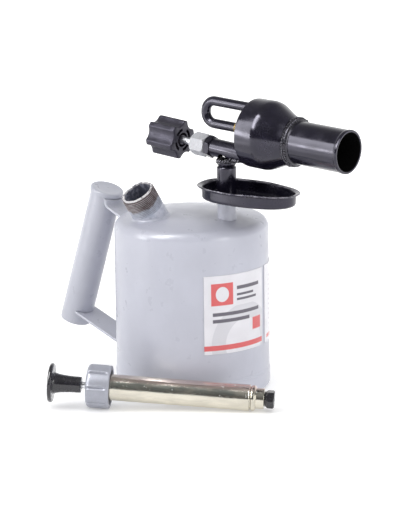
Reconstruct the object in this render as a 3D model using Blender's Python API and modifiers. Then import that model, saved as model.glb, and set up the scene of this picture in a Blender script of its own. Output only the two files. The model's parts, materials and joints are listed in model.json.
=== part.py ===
"""Petrol blowlamp: a one litre tank with a tube handle, a valve and burner over a priming pan,
and the hand pump taken out of the filler neck and laid on the ground in front of the tank.

Metres, +Z up. The origin is the middle of the tank's foot, and the burner points along +X.
"""

import math

import bmesh
import bpy
from mathutils import Matrix, Vector


# Fits shared by all pieces
CLEARANCE = 0.0003
OVERRUN = 0.004
MERGE = 0.00001
SMOOTH_ANGLE = math.radians(32)

# Fineness of round pieces
LARGE_STEPS = 44
MEDIUM_STEPS = 30
SMALL_STEPS = 20
TINY_STEPS = 14
ARC_STEPS = 4

# Tank
TANK_RADIUS = 0.055
TANK_SIDE_TOP = 0.116
TANK_SHEET = 0.001
SHOULDER_RADIUS = 0.007
SHOULDER_ANGLE = math.radians(76)
DOME_RISE = 0.0058
SHELL_FOOT_HEIGHT = 0.003
JOGGLE_LENGTH = 0.0012

# Pressed bottom cup
CUP_PROUD = 0.0004
CUP_SHEET = 0.0009
CUP_HEIGHT = 0.013
CUP_CORNER_RADIUS = 0.004
FOOT_RING_WIDTH = 0.008
STIFFENER_RISE = 0.0022
STIFFENER_WIDTH = 0.018
STIFFENER_SLOPE = 0.0025

# Pump neck
NECK_X = -0.015
NECK_Y = -0.027
NECK_LEAN = math.radians(31.3)
NECK_HEADING = math.radians(-107)
NECK_OUTER_RADIUS = 0.01215
NECK_WALL = 0.002
NECK_LENGTH = 0.0225
NECK_MOUTH_CHAMFER = 0.0006
NECK_BEAD_REACH = 0.0016
NECK_BEAD_HEIGHT = 0.0024

# Riser socket and fuel pickup
RISER_INSET = 0.0228
RISER_X = TANK_RADIUS - RISER_INSET
SOCKET_RADIUS = 0.00665
SOCKET_BEAD_REACH = 0.0022
SOCKET_BEAD_HEIGHT = 0.0028
PICKUP_RADIUS = 0.0026
PICKUP_BORE_RADIUS = 0.0018
PICKUP_FLOOR_GAP = 0.007
PICKUP_REACH_IN_RISER = 0.012
STRAINER_WALL = 0.0006
STRAINER_LENGTH = 0.012
STRAINER_FLOOR_GAP = 0.0045

# Handle: its top is placed from the tank's side and shoulder, and it leans down and outward
HANDLE_TOP_OUT = 0.02215
HANDLE_TOP_RISE = 0.0184
HANDLE_LEAN = math.radians(17.6)
HANDLE_LENGTH = 0.107
HANDLE_RADIUS = 0.0113
HANDLE_WALL = 0.0014
CAP_SHEET = 0.0006
CAP_SKIRT = 0.003
CAP_EDGE_RADIUS = 0.0008
STRAP_WIDTH = 0.022
STRAP_THICKNESS = 0.0018
UPPER_STRAP_OFFSET = 0.0086
UPPER_STRAP_RUN = 0.001
UPPER_STRAP_BEND = 0.004
UPPER_STRAP_FALL = math.radians(25)
LOWER_STRAP_FALL = math.radians(22)
LOWER_STRAP_RISE = 0.009
LOWER_STRAP_REACH = 0.0055

# Label sheets
LABEL_THICKNESS = 0.0002
LABEL_BOTTOM = 0.0348
LABEL_HEIGHT = 0.0569
FRONT_LABEL_START = math.radians(-43.5)
FRONT_LABEL_SWEEP = math.radians(54.5)
SIDE_LABEL_START = math.radians(15.5)
SIDE_LABEL_SWEEP = math.radians(55)

# Priming pan
PAN_AHEAD = 0.0209
PAN_STAND_OFF = 0.01464
PAN_ASIDE = -0.001
PAN_HALF_LENGTH = 0.041
PAN_HALF_WIDTH_REAR = 0.0252
PAN_HALF_WIDTH_FRONT = 0.0192
PAN_FULLNESS_SHARE = 0.05
PAN_DEPTH = 0.01
PAN_SHEET = 0.0009
PAN_CORNER_RADIUS = 0.002
PAN_FLOOR_SHARE = 0.915

# Riser: heights are measured up from the pan's floor
RISER_RADIUS = 0.00695
RISER_SPIGOT_RADIUS = 0.004
RISER_SPIGOT_LENGTH = 0.012
RISER_SHOULDER_RISE = 0.0219
RISER_NECK_RADIUS = 0.005
RISER_BORE_RADIUS = 0.0029
COLLAR_ACROSS_CORNERS = 0.0158
COLLAR_THICKNESS = 0.0022

# Burner: lengths are measured forward from the riser along the burner axis
BURNER_RISE = 0.0488
BURNER_TILT = math.radians(2.6)
BELL_REAR = 0.025
BELL_RADIUS = 0.0244
BELL_CYLINDER_LENGTH = 0.0135
BELL_NOSE_LENGTH = 0.0206
BELL_SHOULDER_RADIUS = 0.014
BELL_TOE_LENGTH = 0.0044
BELL_TOE_RISE = 0.0012
BELL_SHEET = 0.0012
FLAME_TUBE_RADIUS = 0.01515
FLAME_TUBE_WALL = 0.0014
FLAME_TUBE_LENGTH = 0.0471
FLAME_TUBE_LIP = 0.00035
FLAME_TUBE_LIP_LENGTH = 0.0025
WELD_BEAD_LENGTH = 0.0046
WELD_BEAD_HEIGHT = 0.0021

# Valve: lengths are measured forward from the riser along the valve axis
VALVE_TILT = math.radians(4.4)
VALVE_DROP = 0.0155
VALVE_RADIUS = 0.0065
VALVE_FRONT = 0.034
HEX_COLLAR_REAR = -0.0157
HEX_COLLAR_LENGTH = 0.005
HEX_COLLAR_ACROSS_CORNERS = 0.0164
HEX_COLLAR_TURN = math.radians(30)
VALVE_SPIGOT_RADIUS = 0.005
VALVE_SPIGOT_LENGTH = 0.0076
VALVE_SEAT = 0.006
VALVE_PASSAGE_RADIUS = 0.0015
VALVE_BOSS_RADIUS = 0.0062
BELL_FOOT_RADIUS = 0.004
VAPORISER_SOCKET_DEPTH = 0.0044
GLAND_ACROSS_FLATS = 0.0143
GLAND_TURN = math.radians(22)
GLAND_LENGTH = 0.0122
GLAND_END_WALL = 0.0022
PACKING_LENGTH = 0.0018
SPINDLE_RADIUS = 0.0025
SPINDLE_SHOWING = 0.0109
SPINDLE_TIP_LENGTH = 0.005
SPINDLE_TIP_RADIUS = 0.0006
SPINDLE_IN_KNOB = 0.018
KNOB_RADIUS = 0.01375
KNOB_LENGTH = 0.0235
KNOB_LOBES = 6
KNOB_LOBE_SHARE = 0.085
KNOB_OUTLINE_POINTS = 48
KNOB_EDGE = 0.0012
KNOB_HUB_RECESS = 0.0016
KNOB_HUB_RECESS_RADIUS = 0.0052

# Vaporiser and jet
VAPORISER_RADIUS = 0.0035
VAPORISER_BORE_RADIUS = 0.002
TOP_LEG_HEIGHT = 0.0182
JET_HEIGHT = 0.002
LOOP_BEND_CENTRE = -0.01
VAPORISER_CROSSING = 0.0395
VAPORISER_SIDESTEP = 0.011
VAPORISER_BEND = 0.0052
LOWER_LEG_END = 0.0092
JET_HOLDER_RADIUS = 0.0041
JET_HOLDER_LENGTH = 0.0115
JET_NIPPLE_LENGTH = 0.0055
JET_NIPPLE_ACROSS_CORNERS = 0.006
JET_HOLE_RADIUS = 0.0005

# Pump: lengths are measured toward the tip from the ring nut's open rim
PUMP_STAND_OFF = 0.01489
PUMP_SLIDE_BACK = 0.05012
PUMP_HEADING = math.radians(31.5)
RING_NUT_WALL = 0.003
RING_NUT_RADIUS = NECK_OUTER_RADIUS + RING_NUT_WALL
RING_NUT_LENGTH = 0.0167
RING_NUT_END_WALL = 0.0024
RING_NUT_EDGE = 0.0018
RING_NUT_GROOVES = 8
RING_NUT_GROOVE_WIDTH = 0.0022
RING_NUT_GROOVE_DEPTH = 0.0009
RING_NUT_PLAIN_RIM = 0.0022
BARREL_PLAY = 0.0009
BARREL_RADIUS = NECK_OUTER_RADIUS - NECK_WALL - BARREL_PLAY
BARREL_WALL = 0.0009
BARREL_SHOWING = 0.0983
BARREL_FLANGE_INSET = 0.00035
BARREL_FLANGE_RADIUS = NECK_OUTER_RADIUS - BARREL_FLANGE_INSET
BARREL_FLANGE_THICKNESS = 0.0016
GASKET_THICKNESS = 0.0014
ROD_GUIDE_LENGTH = 0.005
ROD_RADIUS = 0.0024
ROD_SHOWING = 0.0042
ROD_IN_KNOB = 0.014
PLUNGER_KNOB_RADIUS = 0.0139
PLUNGER_KNOB_LENGTH = 0.0229
PLUNGER_STEM_RADIUS = 0.0056
PLUNGER_WAIST_SHARE = 1.08
PLUNGER_FLARE_LENGTH = 0.0105
PLUNGER_FLANGE_EDGE = 0.003
CUP_LEATHER_LENGTH = 0.006
CUP_LEATHER_THICKNESS = 0.0012
PISTON_WASHER_INSET = 0.0032
PISTON_WASHER_RADIUS = BARREL_RADIUS - PISTON_WASHER_INSET
PISTON_WASHER_THICKNESS = 0.0012
PISTON_NUT_ACROSS_CORNERS = 0.008
PISTON_NUT_THICKNESS = 0.003
PISTON_END_GAP = 0.0035
ROD_TAIL = 0.001
VALVE_PLUG_DEPTH = 0.005
VALVE_PLUG_BORE_RADIUS = 0.0015
END_BEAD_INSET = 0.0003
END_BEAD_RADIUS = BARREL_RADIUS - END_BEAD_INSET
END_GROOVE_INSET = 0.0011
END_GROOVE_RADIUS = BARREL_RADIUS - END_GROOVE_INSET
END_GROOVE_WIDTH = 0.0009
END_BEAD_LENGTH = 0.004
END_STEP_RADIUS = 0.0073
END_STEP_LENGTH = 0.0058
CHAMBER_RADIUS = 0.004
CHAMBER_FLOOR = 0.0012
DISC_THICKNESS = 0.0015
DISC_RADIUS = 0.0034
SPRING_COIL_RADIUS = 0.0026
SPRING_WIRE_RADIUS = 0.00025
SPRING_TURNS = 4.5
SPRING_POINTS_PER_TURN = 10
OUTLET_NECK_RADIUS = 0.0054
OUTLET_NECK_LENGTH = 0.0011
OUTLET_SPIGOT_LENGTH = 0.0014
OUTLET_ACROSS_CORNERS = 0.0133
OUTLET_HEX_LENGTH = 0.0057
OUTLET_HOLE_RADIUS = 0.00125


# Scene and materials

def clear_scene():
    for item in list(bpy.data.objects):
        bpy.data.objects.remove(item, do_unlink=True)


def new_collection(name):
    collection = bpy.data.collections.new(name)
    bpy.context.scene.collection.children.link(collection)
    return collection


def principled(name, colour, roughness, metallic=0.0):
    material = bpy.data.materials.new(name)
    material.use_nodes = True
    shader = material.node_tree.nodes["Principled BSDF"]
    shader.inputs["Base Color"].default_value = (*colour, 1.0)
    shader.inputs["Roughness"].default_value = roughness
    shader.inputs["Metallic"].default_value = metallic
    return material


PARTS = None
CUTTERS = None
MATERIALS = {}


def make_materials():
    MATERIALS.update({
        "tank_paint": principled("tank_paint", (0.52, 0.53, 0.60), 0.35),
        "neck_paint": principled("neck_paint", (0.36, 0.33, 0.36), 0.5, 0.3),
        "handle_paint": principled("handle_paint", (0.50, 0.51, 0.58), 0.35),
        "label_paper": principled("label_paper", (0.86, 0.86, 0.88), 0.3),
        "black_paint": principled("black_paint", (0.018, 0.018, 0.024), 0.25),
        "black_steel": principled("black_steel", (0.03, 0.03, 0.035), 0.4, 0.5),
        "black_plastic": principled("black_plastic", (0.035, 0.036, 0.042), 0.45),
        "zinc": principled("zinc", (0.66, 0.67, 0.70), 0.35, 0.9),
        "brass": principled("brass", (0.62, 0.45, 0.18), 0.35, 1.0),
        "yellow_zinc": principled("yellow_zinc", (0.62, 0.58, 0.40), 0.28, 1.0),
        "cast_alloy": principled("cast_alloy", (0.55, 0.56, 0.60), 0.5, 0.7),
        "fibre": principled("fibre", (0.35, 0.14, 0.08), 0.8),
        "leather": principled("leather", (0.22, 0.12, 0.06), 0.8),
        "rubber": principled("rubber", (0.03, 0.03, 0.03), 0.7),
        "gauze": principled("gauze", (0.55, 0.50, 0.38), 0.5, 0.8),
    })


def empty_frame(name, location, rotation):
    """A guide that a group of pieces is placed in."""
    frame = bpy.data.objects.new(name, None)
    frame.location = location
    frame.rotation_euler = rotation
    bpy.context.scene.collection.objects.link(frame)
    return frame


# Placing and finishing pieces

ALONG_X = (0.0, math.pi / 2, 0.0)


def add_object(name, data, material_name, frame=None, location=(0, 0, 0), rotation=(0, 0, 0)):
    item = bpy.data.objects.new(name, data)
    item.parent = frame
    item.location = location
    item.rotation_euler = rotation
    if material_name is None:
        item.hide_render = True
        item.display_type = "WIRE"
        CUTTERS.objects.link(item)
    else:
        data.materials.append(MATERIALS[material_name])
        PARTS.objects.link(item)
    return item


def settle(item):
    """Turn an object and its modifiers into one welded mesh, shaded smooth but for its edges."""
    bpy.context.view_layer.update()
    evaluated = item.evaluated_get(bpy.context.evaluated_depsgraph_get())
    mesh = bpy.data.meshes.new_from_object(evaluated)
    body = bmesh.new()
    body.from_mesh(mesh)
    bmesh.ops.remove_doubles(body, verts=body.verts, dist=MERGE)
    body.to_mesh(mesh)
    body.free()
    if item.type == "MESH":
        item.modifiers.clear()
        item.data = mesh
        result = item
    else:
        result = bpy.data.objects.new(item.name, mesh)
        result.parent = item.parent
        result.location = item.location
        result.rotation_euler = item.rotation_euler
        for collection in list(item.users_collection):
            collection.objects.link(result)
        result.hide_render = item.hide_render
        result.display_type = item.display_type
        name = item.name
        bpy.data.objects.remove(item, do_unlink=True)
        result.name = name
    mesh.name = result.name
    mesh.shade_smooth()
    mesh.set_sharp_from_angle(angle=SMOOTH_ANGLE)
    return result


def boolean(item, cutter, operation="DIFFERENCE"):
    modifier = item.modifiers.new(operation.title(), "BOOLEAN")
    modifier.operation = operation
    modifier.object = cutter
    return modifier


def cut(item, *cutters):
    for cutter in cutters:
        boolean(item, cutter)
    return settle(item)


# Shapes

def outline_mesh(name, points, closed):
    mesh = bpy.data.meshes.new(name)
    vertices = [(radius, 0.0, height) for radius, height in points]
    edges = [(index, index + 1) for index in range(len(points) - 1)]
    if closed:
        edges.append((len(points) - 1, 0))
    mesh.from_pydata(vertices, edges, [])
    return mesh


def turned(name, points, material_name, steps, closed=False, sheet=None, sweep=None, **place):
    """A profile turned round Z: solid between two axis points, a closed ring, or thin sheet."""
    item = add_object(name, outline_mesh(name, points, closed), material_name, **place)
    screw = item.modifiers.new("Screw", "SCREW")
    screw.steps = steps
    screw.render_steps = steps
    if sweep is None:
        screw.use_merge_vertices = True
        screw.merge_threshold = MERGE
    else:
        screw.angle = sweep
    if sheet is not None:
        solidify = item.modifiers.new("Solidify", "SOLIDIFY")
        solidify.thickness = sheet
        solidify.offset = -1
        solidify.use_even_offset = True
    return settle(item)


def pin(name, radius, bottom, top, material_name, steps, **place):
    """A plain cylinder on Z."""
    points = [(0, top), (radius, top), (radius, bottom), (0, bottom)]
    return turned(name, points, material_name, steps, **place)


def ring(name, outer, inner, bottom, top, material_name, steps, **place):
    points = [(outer, top), (outer, bottom), (inner, bottom), (inner, top)]
    return turned(name, points, material_name, steps, closed=True, **place)


def arc(centre_r, centre_z, radius, start, end, steps=ARC_STEPS):
    """Points on an arc in a profile's plane, by angles from the outward direction."""
    points = []
    for index in range(steps + 1):
        angle = start + (end - start) * index / steps
        points.append((centre_r + radius * math.cos(angle), centre_z + radius * math.sin(angle)))
    return points


def hexagon(name, across_corners, bottom, top, material_name, turn=0.0, **place):
    mesh = bpy.data.meshes.new(name)
    body = bmesh.new()
    radius = across_corners / 2
    middle = Matrix.Translation((0, 0, (bottom + top) / 2)) @ Matrix.Rotation(turn, 4, "Z")
    bmesh.ops.create_cone(body, cap_ends=True, segments=6, radius1=radius, radius2=radius,
                          depth=top - bottom, matrix=middle)
    body.to_mesh(mesh)
    body.free()
    return add_object(name, mesh, material_name, **place)


def rounded_path(corners, radii, steps):
    """A polyline with each inner corner replaced by an arc of the given radius."""
    corners = [Vector(corner) for corner in corners]
    path = [corners[0]]
    for before, corner, after, radius in zip(corners, corners[1:], corners[2:], radii):
        back = (before - corner).normalized()
        ahead = (after - corner).normalized()
        half = back.angle(ahead) / 2
        reach = radius / math.tan(half)
        centre = corner + (back + ahead).normalized() * (radius / math.sin(half))
        start = corner + back * reach - centre
        end = corner + ahead * reach - centre
        for index in range(steps + 1):
            path.append(centre + start.slerp(end, index / steps).normalized() * radius)
    path.append(corners[-1])
    return path


def round_bar(name, path, radius, resolution, material_name, **place):
    """A round bar along a path, with filled ends."""
    curve = bpy.data.curves.new(name, "CURVE")
    curve.dimensions = "3D"
    curve.bevel_depth = radius
    curve.bevel_resolution = resolution
    curve.use_fill_caps = True
    spline = curve.splines.new("POLY")
    spline.points.add(len(path) - 1)
    for point, position in zip(spline.points, path):
        point.co = (*position, 1.0)
    return settle(add_object(name, curve, material_name, **place))


def flat_strip(name, path, width, thickness, material_name, **place):
    """A strap bent along a path in the XZ plane, centred on it, with its width along Y."""
    mesh = bpy.data.meshes.new(name)
    vertices = []
    for side in (-width / 2, width / 2):
        vertices.extend((x, side, z) for x, z in path)
    count = len(path)
    faces = [(index, index + 1, count + index + 1, count + index) for index in range(count - 1)]
    mesh.from_pydata(vertices, [], faces)
    item = add_object(name, mesh, material_name, **place)
    solidify = item.modifiers.new("Solidify", "SOLIDIFY")
    solidify.thickness = thickness
    solidify.offset = 0
    solidify.use_even_offset = True
    return settle(item)


# Tank

def dome_edge():
    reach = SHOULDER_RADIUS * math.cos(SHOULDER_ANGLE)
    rise = SHOULDER_RADIUS * math.sin(SHOULDER_ANGLE)
    return TANK_RADIUS - SHOULDER_RADIUS + reach, TANK_SIDE_TOP + rise


def dome_height(radius):
    edge_radius, edge_height = dome_edge()
    return edge_height + DOME_RISE * (1 - (radius / edge_radius) ** 2)


def tank_top_points(offset):
    """The dome and shoulder from the axis outward, moved out by an offset."""
    edge_radius = dome_edge()[0]
    dome_shares = (0, 0.25, 0.5, 0.75)
    points = [(edge_radius * share, dome_height(edge_radius * share) + offset) for share in dome_shares]
    points.extend(arc(TANK_RADIUS - SHOULDER_RADIUS, TANK_SIDE_TOP, SHOULDER_RADIUS + offset,
                      SHOULDER_ANGLE, 0.0))
    return points


CUP_RADIUS = TANK_RADIUS + CUP_PROUD
JOGGLED_RADIUS = CUP_RADIUS - CUP_SHEET - CLEARANCE
CUP_MIDDLE_RADIUS = CUP_RADIUS - CUP_CORNER_RADIUS - FOOT_RING_WIDTH - STIFFENER_WIDTH


def build_tank():
    joggle_top = CUP_HEIGHT + CLEARANCE + JOGGLE_LENGTH
    points = tank_top_points(0.0)
    points.append((TANK_RADIUS, joggle_top))
    points.append((JOGGLED_RADIUS, CUP_HEIGHT + CLEARANCE))
    points.append((JOGGLED_RADIUS, SHELL_FOOT_HEIGHT))
    shell = turned("tank_shell", points, "tank_paint", LARGE_STEPS, sheet=TANK_SHEET)

    stiffener_outer = CUP_MIDDLE_RADIUS + STIFFENER_WIDTH
    cup = [(CUP_RADIUS, CUP_HEIGHT)]
    cup.extend(arc(CUP_RADIUS - CUP_CORNER_RADIUS, CUP_CORNER_RADIUS, CUP_CORNER_RADIUS,
                   0.0, -math.pi / 2))
    cup.append((stiffener_outer, 0.0))
    cup.append((stiffener_outer - STIFFENER_SLOPE, STIFFENER_RISE))
    cup.append((CUP_MIDDLE_RADIUS + STIFFENER_SLOPE, STIFFENER_RISE))
    cup.append((CUP_MIDDLE_RADIUS, 0.0))
    cup.append((0.0, 0.0))
    turned("tank_bottom", cup, "tank_paint", LARGE_STEPS, sheet=CUP_SHEET)
    return shell


def tank_clearance_cutter():
    """The tank's outside with a clearance, for pieces welded onto it."""
    points = tank_top_points(CLEARANCE)
    points.append((TANK_RADIUS + CLEARANCE, 0.0))
    points.append((0.0, 0.0))
    return turned("tank_clearance", points, None, LARGE_STEPS)


def build_neck(shell, clearance):
    distance = math.hypot(NECK_X, NECK_Y)
    frame = empty_frame("neck_frame", (NECK_X, NECK_Y, dome_height(distance)),
                        (0.0, NECK_LEAN, NECK_HEADING))
    inner = NECK_OUTER_RADIUS - NECK_WALL
    root = -NECK_OUTER_RADIUS
    bead = NECK_OUTER_RADIUS + NECK_BEAD_REACH
    points = [
        (NECK_OUTER_RADIUS - NECK_MOUTH_CHAMFER, NECK_LENGTH),
        (NECK_OUTER_RADIUS, NECK_LENGTH - NECK_MOUTH_CHAMFER),
        (NECK_OUTER_RADIUS, NECK_BEAD_HEIGHT),
        (bead, 0.0),
        (bead, root),
        (inner, root),
        (inner, NECK_LENGTH),
    ]
    neck = turned("pump_neck", points, "neck_paint", MEDIUM_STEPS, closed=True, frame=frame)
    cut(neck, clearance)
    bore = pin("neck_bore", inner, root - OVERRUN, NECK_LENGTH + OVERRUN, None, MEDIUM_STEPS,
               frame=frame)
    boolean(shell, bore)


def build_socket(shell, clearance):
    spigot_bore = RISER_SPIGOT_RADIUS + CLEARANCE
    top = pan_floor_underside() - CLEARANCE
    root = dome_height(RISER_X) - SOCKET_RADIUS
    bead_top = dome_height(RISER_X) + SOCKET_BEAD_HEIGHT
    bead = SOCKET_RADIUS + SOCKET_BEAD_REACH
    points = [
        (SOCKET_RADIUS, top),
        (SOCKET_RADIUS, bead_top),
        (bead, bead_top - SOCKET_BEAD_HEIGHT),
        (bead, root),
        (spigot_bore, root),
        (spigot_bore, top),
    ]
    socket = turned("riser_socket", points, "tank_paint", SMALL_STEPS, closed=True,
                    location=(RISER_X, 0, 0))
    cut(socket, clearance)
    hole = pin("socket_bore", spigot_bore, root - OVERRUN, top, None, SMALL_STEPS,
               location=(RISER_X, 0, 0))
    boolean(shell, hole)


def build_pickup():
    top = pan_floor_top() + CLEARANCE + PICKUP_REACH_IN_RISER
    ring("fuel_pickup_tube", PICKUP_RADIUS, PICKUP_BORE_RADIUS, PICKUP_FLOOR_GAP, top,
         "zinc", TINY_STEPS, location=(RISER_X, 0, 0))
    outer = PICKUP_RADIUS + CLEARANCE + STRAINER_WALL
    bottom = STRAINER_FLOOR_GAP
    points = [
        (outer, bottom + STRAINER_LENGTH),
        (outer, bottom),
        (0.0, bottom),
        (0.0, bottom + STRAINER_WALL),
        (outer - STRAINER_WALL, bottom + STRAINER_WALL),
        (outer - STRAINER_WALL, bottom + STRAINER_LENGTH),
    ]
    strainer_outline = points[3:] + points[:3]
    turned("pickup_strainer", strainer_outline, "gauze", TINY_STEPS, location=(RISER_X, 0, 0))


def build_label(name, start, sweep):
    radius = TANK_RADIUS + CLEARANCE + LABEL_THICKNESS
    points = [(radius, LABEL_BOTTOM + LABEL_HEIGHT), (radius, LABEL_BOTTOM)]
    steps = max(3, round(LARGE_STEPS * sweep / math.tau))
    turned(name, points, "label_paper", steps, sheet=LABEL_THICKNESS, sweep=sweep,
           rotation=(0, 0, start))


# Handle

def handle_direction():
    return Vector((math.sin(HANDLE_LEAN), math.cos(HANDLE_LEAN)))


def handle_axis_point(along):
    """A point of the handle's axis in the XZ plane, measured up from its foot."""
    top = Vector((-TANK_RADIUS - HANDLE_TOP_OUT, TANK_SIDE_TOP + HANDLE_TOP_RISE))
    return top + handle_direction() * (along - HANDLE_LENGTH)


def heading(angle):
    return Vector((math.cos(angle), math.sin(angle)))


def upper_strap_path():
    """From under the cap, down beside the tube, round a bend and onto the shoulder."""
    upward = handle_direction()
    tankward = Vector((upward.y, -upward.x))
    start = handle_axis_point(HANDLE_LENGTH - CAP_SKIRT - 2 * CLEARANCE)
    start += tankward * UPPER_STRAP_OFFSET
    bend_start = start - upward * UPPER_STRAP_RUN
    centre = bend_start + tankward * UPPER_STRAP_BEND
    first = math.atan2(-tankward.y, -tankward.x)
    last = -math.pi / 2 - UPPER_STRAP_FALL
    if first < last:
        first += math.tau
    if first - last > math.pi:
        first -= math.tau
    path = [start]
    for index in range(2 * ARC_STEPS + 1):
        angle = first + (last - first) * index / (2 * ARC_STEPS)
        path.append(centre + heading(angle) * UPPER_STRAP_BEND)
    reach = -(TANK_RADIUS - SHOULDER_RADIUS) - path[-1].x
    path.append(path[-1] + Vector((reach, -reach * math.tan(UPPER_STRAP_FALL))))
    return path


def lower_strap_path():
    upward = handle_direction()
    along = LOWER_STRAP_RISE / upward.y
    tankward = Vector((upward.y, -upward.x))
    mouth = handle_axis_point(along) + tankward * HANDLE_RADIUS
    fall = Vector((math.cos(LOWER_STRAP_FALL), -math.sin(LOWER_STRAP_FALL)))
    start = mouth - fall * LOWER_STRAP_REACH
    reach = (-(TANK_RADIUS - SHOULDER_RADIUS) - start.x) / fall.x
    return [start, start + fall * reach]


def build_handle(clearance):
    foot = handle_axis_point(0.0)
    frame = empty_frame("handle_frame", (foot.x, 0, foot.y), (0.0, HANDLE_LEAN, 0.0))
    tube_top = HANDLE_LENGTH - CAP_SHEET - CLEARANCE
    tube = ring("handle_tube", HANDLE_RADIUS, HANDLE_RADIUS - HANDLE_WALL, 0.0, tube_top,
                "handle_paint", MEDIUM_STEPS, frame=frame)

    skirt_inner = HANDLE_RADIUS + CLEARANCE
    skirt_outer = skirt_inner + CAP_SHEET
    cap = [(0.0, HANDLE_LENGTH)]
    cap.extend(arc(skirt_outer - CAP_EDGE_RADIUS, HANDLE_LENGTH - CAP_EDGE_RADIUS, CAP_EDGE_RADIUS,
                   math.pi / 2, 0.0))
    cap.append((skirt_outer, HANDLE_LENGTH - CAP_SKIRT))
    cap.append((skirt_inner, HANDLE_LENGTH - CAP_SKIRT))
    cap.append((skirt_inner, HANDLE_LENGTH - CAP_SHEET))
    cap.append((0.0, HANDLE_LENGTH - CAP_SHEET))
    turned("handle_cap", cap, "handle_paint", MEDIUM_STEPS, frame=frame)

    upper = flat_strip("handle_upper_strap", upper_strap_path(), STRAP_WIDTH, STRAP_THICKNESS,
                       "handle_paint")
    saddle = pin("strap_saddle", HANDLE_RADIUS + CLEARANCE, 0.0, HANDLE_LENGTH + OVERRUN, None,
                 MEDIUM_STEPS, frame=frame)
    cut(upper, clearance, saddle)
    lower_path = lower_strap_path()
    lower = flat_strip("handle_lower_strap", lower_path, STRAP_WIDTH, STRAP_THICKNESS,
                       "handle_paint")
    cut(lower, clearance)
    fall = (lower_path[1] - lower_path[0]).normalized()
    slot_path = [lower_path[0] - fall * CLEARANCE, lower_path[1]]
    slot = flat_strip("strap_slot", slot_path, STRAP_WIDTH + 2 * CLEARANCE,
                      STRAP_THICKNESS + 2 * CLEARANCE, None)
    cut(tube, slot)


# Priming pan

def pan_floor_underside():
    return dome_height(RISER_X) + PAN_STAND_OFF


def pan_floor_top():
    return pan_floor_underside() + PAN_SHEET


def build_pan():
    """A round dish drawn out to a full egg shape, longest ahead of the riser."""
    floor_radius = PAN_HALF_LENGTH * PAN_FLOOR_SHARE
    points = [(PAN_HALF_LENGTH, PAN_DEPTH)]
    points.extend(arc(floor_radius - PAN_CORNER_RADIUS, PAN_CORNER_RADIUS, PAN_CORNER_RADIUS,
                      0.0, -math.pi / 2, ARC_STEPS - 1))
    points.append((0.0, 0.0))
    pan = add_object("priming_pan", outline_mesh("priming_pan", points, False), "black_paint",
                     location=(RISER_X + PAN_AHEAD, PAN_ASIDE, pan_floor_underside()))
    screw = pan.modifiers.new("Screw", "SCREW")
    screw.steps = LARGE_STEPS
    screw.render_steps = LARGE_STEPS
    screw.use_merge_vertices = True
    screw.merge_threshold = MERGE
    settle(pan)
    for vertex in pan.data.vertices:
        forward = (vertex.co.x / PAN_HALF_LENGTH + 1) / 2
        half_width = PAN_HALF_WIDTH_REAR + (PAN_HALF_WIDTH_FRONT - PAN_HALF_WIDTH_REAR) * forward
        around = math.atan2(vertex.co.y, vertex.co.x)
        fullness = 1 + PAN_FULLNESS_SHARE * math.sin(2 * around) ** 2
        vertex.co.x *= fullness
        vertex.co.y *= fullness * half_width / PAN_HALF_LENGTH
    solidify = pan.modifiers.new("Solidify", "SOLIDIFY")
    solidify.thickness = PAN_SHEET
    solidify.offset = -1
    solidify.use_even_offset = True
    settle(pan)
    hole = pin("pan_hole", RISER_SPIGOT_RADIUS + CLEARANCE, pan_floor_underside() - OVERRUN,
               pan_floor_top() + OVERRUN, None, SMALL_STEPS, location=(RISER_X, 0, 0))
    cut(pan, hole)


# Riser

def burner_axis_height():
    """Height of the burner's axis over the riser."""
    return pan_floor_top() + BURNER_RISE


def valve_axis_height():
    """Height of the valve's axis over the riser."""
    return burner_axis_height() - VALVE_DROP


def on_valve_axis(reach):
    """A point of the valve's axis, ahead of the riser, in the burner's frame."""
    lean = VALVE_TILT - BURNER_TILT
    along = VALVE_DROP * math.sin(BURNER_TILT) + reach * math.cos(lean)
    drop = VALVE_DROP * math.cos(BURNER_TILT) + reach * math.sin(lean)
    return along, 0.0, -drop


def collar_top():
    """The collar nut sits just under the tilted valve body."""
    drop = VALVE_RADIUS / math.cos(VALVE_TILT)
    drop += COLLAR_ACROSS_CORNERS / 2 * math.tan(VALVE_TILT)
    return valve_axis_height() - drop - CLEARANCE


def riser_top():
    return valve_axis_height() - SPINDLE_RADIUS - 2 * CLEARANCE


def build_riser():
    foot = pan_floor_top() + CLEARANCE
    collar_bottom = collar_top() - COLLAR_THICKNESS
    neck_height = collar_bottom - CLEARANCE
    taper = RISER_RADIUS - RISER_NECK_RADIUS
    shoulder = pan_floor_top() + RISER_SHOULDER_RISE
    points = [
        (RISER_SPIGOT_RADIUS, riser_top()),
        (RISER_SPIGOT_RADIUS, neck_height),
        (RISER_NECK_RADIUS, neck_height),
        (RISER_NECK_RADIUS, shoulder + taper / 2),
        (RISER_RADIUS, shoulder - taper / 2),
        (RISER_RADIUS, foot),
        (RISER_SPIGOT_RADIUS, foot),
        (RISER_SPIGOT_RADIUS, foot - RISER_SPIGOT_LENGTH),
        (RISER_BORE_RADIUS, foot - RISER_SPIGOT_LENGTH),
        (RISER_BORE_RADIUS, riser_top()),
    ]
    turned("riser_tube", points, "black_paint", SMALL_STEPS, closed=True, location=(RISER_X, 0, 0))

    collar = hexagon("riser_collar_nut", COLLAR_ACROSS_CORNERS, collar_bottom,
                     collar_top(), "black_paint", location=(RISER_X, 0, 0))
    hole = pin("collar_hole", RISER_SPIGOT_RADIUS + CLEARANCE, collar_bottom - OVERRUN,
               collar_top() + OVERRUN, None, SMALL_STEPS,
               location=(RISER_X, 0, 0))
    cut(collar, hole)


# Burner

def flame_tube_rear():
    """Where the bell's nose ends and the flame tube begins."""
    return BELL_REAR + BELL_CYLINDER_LENGTH + BELL_NOSE_LENGTH


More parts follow.
